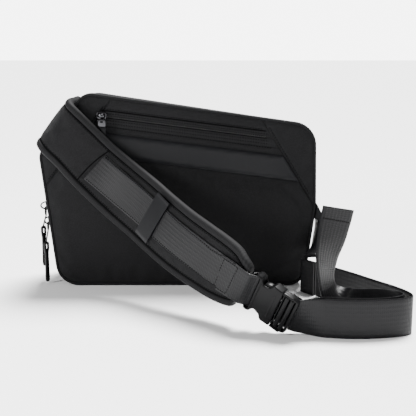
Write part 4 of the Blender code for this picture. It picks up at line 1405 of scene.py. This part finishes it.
class SLINGBAG_OT_buckle(bpy.types.Operator):
    """Makes the side-release buckle's two halves and its prongs"""
    bl_idname = "slingbag.buckle"
    bl_label = "Make the buckle"

    def execute(self, context):
        matrix = buckle_matrix()
        self.make_female(matrix)
        self.make_male(matrix)
        self.make_prongs(matrix)
        return {"FINISHED"}

    def make_female(self, matrix):
        half = 22.0
        side = [(FEMALE_LENGTH, half - 0.4), (23, half), (21, 20.5), (19, 17.0), (16, 15.5),
                (12, 15.5), (10, 18), (8.5, half - 0.8), (4, half), (1.4, half - 1.6)]
        outline = side + [(x, -y) for x, y in reversed(side)]
        body = prism("buckle_socket", outline, -5.5, 5.5)
        bevelled(body, 1.5, 4, 50)
        hollows = (((4.4, -19.6, -20), (7.2, 19.6, 20)), ((-5, -19.6, 1.3), (5, 19.6, 20)),
                   ((-5, -19.6, -20), (5, 19.6, -1.3)), ((10.4, -16.6, -3.7), (40, 16.6, 3.7)),
                   ((10.4, -30, -3.7), (21, 30, 3.7)), ((9.4, -17, 4.9), (10.4, 17, 9)))
        for low, high in hollows:
            carved(body, block("cut", low, high))
        rib = block("ridge", (26.5, -14, 5.2), (28.0, 14, 5.75))
        bevelled(rib, 0.2, 2)
        body = joined([body, rib])
        settle(in_place(body, matrix), "plastic", replaces=["buckle_female"],
               angle=30)

    def make_male(self, matrix):
        half = 22.0
        start = FEMALE_LENGTH + 0.3
        outline = [(start, half - 0.6), (start, -half + 0.6), (44, -half),
                   (MALE_END - 1.2, -half + 2), (MALE_END, -half + 5), (MALE_END, half - 5),
                   (MALE_END - 1.2, half - 2), (44, half)]
        frame_part = prism("buckle_ladder", outline, -3.0, 3.0)
        bevelled(frame_part, 0.9, 3)
        for low, high in ((35.0, 36.0), (40.6, 41.7), (46.0, 47.6)):
            carved(frame_part, block("cut", (low, -18.9, -20), (high, 18.9, 20)))
        bars = [frame_part]
        for near, far, top in ((36.0, 40.6, 4.6), (41.7, 46.0, 4.4)):
            bar = block("bar", (near, -19.2, -0.4), (far, 19.2, top))
            bevelled(bar, 1.9, 5)
            bars.append(bar)
        for side in (1, -1):
            inner = side * 19.4
            outer = side * (half - 0.2)
            rail = block("rail", (start, min(inner, outer), 0.5), (44.5, max(inner, outer), 4.7))
            bevelled(rail, 0.8, 4)
            bars.append(rail)
        settle(in_place(joined(bars), matrix), "plastic",
               replaces=["buckle_male"], angle=30)
        tongue = block("guide_tongue", (11.5, -5.5, -1.8), (FEMALE_LENGTH, 5.5, 1.8))
        bevelled(tongue, 0.5, 3)
        settle(in_place(tongue, matrix), "plastic",
               replaces=["buckle_guide_tongue"])

    def make_prongs(self, matrix):
        prong = [(32.7, 8.2), (32.7, 12.2), (26, 14.4), (20.6, 15.8), (19.9, 18.9), (17, 18.7),
                 (14, 17.6), (12.2, 15.8), (11.6, 14.2), (12.5, 11.8), (19.5, 11.4)]
        for name, side, body, node in (
                ("prong_upper", 1, "prong_upper_body", "buckle_prong_upper"),
                ("prong_lower", -1, "prong_lower_body", "buckle_prong_lower")):
            outline = [(x, y * side) for x, y in prong]
            if side < 0:
                outline.reverse()
            item = prism(name, outline, -2.6, 2.6)
            bevelled(item, 0.5, 2)
            settle(in_place(item, matrix), "plastic", body, [node], 30)


# ------------------------------------------------------------------ sliders and pulls


def front_zip_matrix():
    along = Vector((1, 0, FALL)).normalized()
    face = Vector((0, -1, 0))
    rotation = Matrix((along, face.cross(along), face)).transposed().to_4x4()
    height = COIL_LINE + FALL * SLIDER_X + 1.2
    return Matrix.Translation((SLIDER_X, FRONT_Y + 0.1, height)) @ rotation


def side_zip_matrix(height):
    low = Vector(OUTLINE[0][:2])
    high = Vector(OUTLINE[1][:2])
    rise = (high - low).normalized()
    spot = low + rise * ((height - low.y) / rise.y)
    along = Vector((rise.x, 0, rise.y))
    face = Vector((-rise.y, 0, rise.x))
    rotation = Matrix((along, face.cross(along), face)).transposed().to_4x4()
    return Matrix.Translation((spot.x, ZIP_DEPTH, spot.y)) @ rotation


def make_slider(prefix, matrix, rise, body, finish="metal"):
    """A slider's two-winged plate and the arch its pull hangs from."""
    outline = [(-5.5, -2.0), (-4.6, -3.6), (-2.5, -4.4), (3.0, -4.4), (4.8, -3.9), (5.5, -2.6),
               (5.5, 2.6), (4.8, 3.9), (3.0, 4.4), (-2.5, 4.4), (-4.6, 3.6), (-5.5, 2.0)]
    plate = prism(prefix + "_slider_plate", outline, 0.4, 2.8)
    bevelled(plate, 0.7, 3)
    settle(in_place(plate, matrix), finish, body, [prefix + "_slider"], 30)
    arch = wire_ring(prefix + "_slider_arch", 4.0, rise, 1.7)
    for vertex in arch.data.vertices:
        vertex.co.y *= 2.6
    pick(arch)
    bpy.ops.object.mode_set(mode="EDIT")
    bpy.ops.mesh.select_all(action="SELECT")
    bpy.ops.mesh.bisect(plane_co=(0, 0, 0.0), plane_no=(0, 0, 1), use_fill=True, clear_inner=True)
    bpy.ops.object.mode_set(mode="OBJECT")
    in_place(arch, matrix @ Matrix.Translation((0, 0, 2.9)))
    settle(arch, finish, body, [prefix + "_slider_bridge"], 60)


class SLINGBAG_OT_sliders(bpy.types.Operator):
    """Makes the three zip sliders and their pulls"""
    bl_idname = "slingbag.sliders"
    bl_label = "Make the sliders and pulls"

    def execute(self, context):
        self.make_pocket()
        self.make_side("upper", UPPER_SLIDER, 6.4, -158, -13, 66.5, 17.8)
        self.make_side("lower", LOWER_SLIDER, 4.7, -152.5, -26.6, 50.7, 2.3)
        return {"FINISHED"}

    def make_pocket(self):
        matrix = front_zip_matrix()
        make_slider("pocket", matrix, 4.6, "pocket_slider_body")
        pivot = matrix @ Vector((0.8, 0, 7.7))
        eye = wire_ring("pocket_eye", 2.1, 2.1, 1.4)
        quarter = Matrix.Rotation(math.radians(90), 4, "Z")
        in_place(eye, Matrix.Translation(pivot) @ quarter)
        settle(eye, "metal", "pocket_pull_body", ["pocket_pull_eye"], 60)
        low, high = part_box("pocket_pull")
        low = Vector(low) / MM
        high = Vector(high) / MM
        outline = [(low.x + 0.6, low.z), (high.x - 0.6, low.z), (high.x, low.z + 1.2),
                   (high.x, high.z - 2), (high.x - 2, high.z), (low.x + 2, high.z),
                   (low.x, high.z - 2), (low.x, low.z + 1.2)]
        pull = prism("pocket_pull_plate", outline, low.y, high.y)
        bevelled(pull, 0.5, 3)
        middle = (low.x + high.x) / 2
        carved(pull, block("cut", (middle - 1.6, high.z - 4.4, -100),
                           (middle + 1.6, high.z - 2.6, 0)))
        faced_out(in_place(pull, UPRIGHT))
        settle(pull, "metal", "pocket_pull_body", ["pocket_pull"], 30)
        low, high = (Vector(p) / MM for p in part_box("pocket_pull_tab"))
        outline = [(low.x, high.z), (low.x, high.z - 0.9), (high.x, low.z), (high.x, high.z)]
        tab = prism("pocket_tab", outline, low.y, high.y)
        bevelled(tab, 0.3, 2)
        faced_out(in_place(tab, UPRIGHT))
        settle(tab, "satin", "pocket_pull_body", ["pocket_pull_tab"])

    def make_side(self, prefix, height, rise, layer, depth, top, tip):
        matrix = side_zip_matrix(height)
        body = prefix + "_pull_body"
        make_slider(prefix, matrix, rise, prefix + "_slider_body", "dark_metal")
        pivot = matrix @ Vector((-4.0, 0, 4.4))
        centre = pivot - Vector((0, 0, 2.55))
        ring = wire_ring(prefix + "_ring", 2.9, 4.6, 1.7)
        in_place(ring, Matrix.Translation(centre) @ Matrix.Rotation(math.radians(90), 4, "Z"))
        settle(ring, "dark_metal", body, [prefix + "_pull_ring"], 60)
        aside = ZIP_DEPTH + (depth - ZIP_DEPTH) * 0.2
        stations = [(Vector((centre.x, aside, centre.z - 5.0)), Vector((0, 1, 0))),
                    (Vector((layer, depth, top + 0.2)), Vector((0, 1, 0)))]
        link = webbing(prefix + "_link", smooth_frames(stations, 6), 1.5, 1.6)
        settle(link, "dark_metal", body, [prefix + "_pull_link"])
        drop = tip - top
        side = [(1.7, 0.0), (2.9, -1.2), (3.4, -3), (3.4, -8), (2.9, -11), (2.4, -14),
                (2.5, drop * 0.6), (2.7, drop + 5), (2.4, drop + 2), (1.5, drop)]
        outline = side + [(-x, z) for x, z in reversed(side)]
        item = prism(prefix + "_grip", outline, -1.6, 1.6)
        bevelled(item, 1.0, 3)
        carved(item, block("cut", (-1.5, -9, -9), (1.5, -3, 9)))
        for k in range(6):
            z = drop + 7 + k * 2.6
            carved(item, block("cut", (-1.4, z, 1.25), (1.4, z + 1.1, 9)))
        hang = Matrix(((0, 0, 1, 0), (1, 0, 0, 0), (0, 1, 0, 0), (0, 0, 0, 1)))
        turn = (Matrix.Translation((layer, depth, top)) @
                Matrix.Rotation(math.radians(GRIP_TWIST), 4, "Z") @ hang)
        settle(in_place(item, turn), "plastic", body, [prefix + "_pull"], 30)


# ------------------------------------------------------------------ inside and stage


class SLINGBAG_OT_inside(bpy.types.Operator):
    """Gives the lining, the pocket's back and the sleeve their fabric"""
    bl_idname = "slingbag.inside"
    bl_label = "Finish the inside"

    def execute(self, context):
        for name in ("main_lining", "pocket_back", "tablet_sleeve", "back_foam"):
            shape = bmesh.new()
            shape.from_mesh(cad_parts[name].data)
            bmesh.ops.remove_doubles(shape, verts=shape.verts, dist=0.00001)
            bmesh.ops.scale(shape, vec=(1 / MM, 1 / MM, 1 / MM), verts=shape.verts)
            item = slumped(object_from(name + "_cloth", shape))
            settle(item, "lining", replaces=[name], angle=30)
        return {"FINISHED"}


class SLINGBAG_OT_stage(bpy.types.Operator):
    """Adds the floor, the soft lights and the camera"""
    bl_idname = "slingbag.stage"
    bl_label = "Set the stage"

    def execute(self, context):
        scene = context.scene
        self.make_floor()
        for name, place, aim, size, power in (
                ("left_light", (-1.5, -1.1, 0.75), (-0.02, -0.1, 0.1), 0.4, 36),
                ("right_light", (0.75, -1.9, 0.55), (0.05, -0.1, 0.1), 0.3, 5)):
            self.add_light(name, place, aim, size, power)
        self.add_sky_light()
        world = bpy.data.worlds.new("studio")
        world.use_nodes = True
        tree = world.node_tree
        tree.nodes["Background"].inputs["Color"].default_value = (1, 1, 1, 1)
        rays = tree.nodes.new("ShaderNodeLightPath")
        seen = calc(tree, "MULTIPLY_ADD", rays.outputs["Is Camera Ray"], 6.0, 0.34)
        tree.links.new(seen, tree.nodes["Background"].inputs["Strength"])
        scene.world = world
        camera = bpy.data.cameras.new("camera")
        camera.sensor_fit = "HORIZONTAL"
        camera.angle = CAMERA_ANGLE
        holder = bpy.data.objects.new("camera", camera)
        scene.collection.objects.link(holder)
        holder.location = CAMERA_PLACE
        holder.rotation_euler = (math.radians(90 - CAMERA_DIP), 0, 0)
        scene.camera = holder
        return {"FINISHED"}

    def make_floor(self):
        deselect()
        bpy.ops.mesh.primitive_plane_add(size=120, location=(0, 0, 0))
        floor = bpy.context.active_object
        floor.name = "floor"
        paper = bpy.data.materials.new("pale_paper")
        paper.use_nodes = True
        tree = paper.node_tree
        shader = tree.nodes["Principled BSDF"]
        shader.inputs["Specular IOR Level"].default_value = 0.2
        places = tree.nodes.new("ShaderNodeTexCoord")
        mottle = noise_at(tree, places.outputs["Object"], 6.0)
        tint = tree.nodes.new("ShaderNodeMix")
        tint.data_type = "RGBA"
        tint.inputs["A"].default_value = (0.955, 0.955, 0.955, 1)
        tint.inputs["B"].default_value = (0.975, 0.975, 0.975, 1)
        tree.links.new(mottle, tint.inputs["Factor"])
        tree.links.new(tint.outputs["Result"], shader.inputs["Base Color"])
        shader.inputs["Roughness"].default_value = 0.8
        floor.data.materials.append(paper)

    def add_sky_light(self):
        light = bpy.data.lights.new("sky_light", "SUN")
        light.energy = 14
        light.angle = math.radians(26)
        holder = bpy.data.objects.new("sky_light", light)
        bpy.context.scene.collection.objects.link(holder)
        holder.rotation_euler = Vector((-0.22, -0.4, -1)).to_track_quat("-Z", "Y").to_euler()

    def add_light(self, name, place, aim, size, power):
        light = bpy.data.lights.new(name, "AREA")
        light.energy = power
        light.size = size
        holder = bpy.data.objects.new(name, light)
        bpy.context.scene.collection.objects.link(holder)
        holder.location = place
        way = Vector(aim) - Vector(place)
        holder.rotation_euler = way.to_track_quat("-Z", "Y").to_euler()


# ------------------------------------------------------------------ add-on


OPERATORS = (SLINGBAG_OT_stage, SLINGBAG_OT_shell, SLINGBAG_OT_front, SLINGBAG_OT_pad,
             SLINGBAG_OT_strap, SLINGBAG_OT_buckle, SLINGBAG_OT_sliders, SLINGBAG_OT_inside)


class SLINGBAG_PT_panel(bpy.types.Panel):
    """Lists the sling bag's pieces, sizes and colours"""
    bl_idname = "SLINGBAG_PT_panel"
    bl_label = "Sling bag"
    bl_space_type = "VIEW_3D"
    bl_region_type = "UI"
    bl_category = "Sling bag"

    def draw(self, context):
        for group in (context.scene.sling_bag_sizes, context.scene.sling_bag_colours):
            box = self.layout.box()
            for key in group.__annotations__:
                box.prop(group, key)
        for operator in OPERATORS:
            self.layout.operator(operator.bl_idname)


CLASSES = (SlingBagSizes, SlingBagColours, *OPERATORS, SLINGBAG_PT_panel)


def register():
    for item in CLASSES:
        bpy.utils.register_class(item)
    bpy.types.Scene.sling_bag_sizes = bpy.props.PointerProperty(type=SlingBagSizes)
    bpy.types.Scene.sling_bag_colours = bpy.props.PointerProperty(type=SlingBagColours)


def unregister():
    del bpy.types.Scene.sling_bag_colours
    del bpy.types.Scene.sling_bag_sizes
    for item in reversed(CLASSES):
        bpy.utils.unregister_class(item)


def main():
    register()
    make_materials(bpy.context.scene.sling_bag_colours)
    bpy.ops.slingbag.stage()
    bpy.ops.slingbag.shell()
    bpy.ops.slingbag.front()
    bpy.ops.slingbag.pad()
    bpy.ops.slingbag.strap()
    bpy.ops.slingbag.buckle()
    bpy.ops.slingbag.sliders()
    bpy.ops.slingbag.inside()


if __name__ == "__main__":
    main()
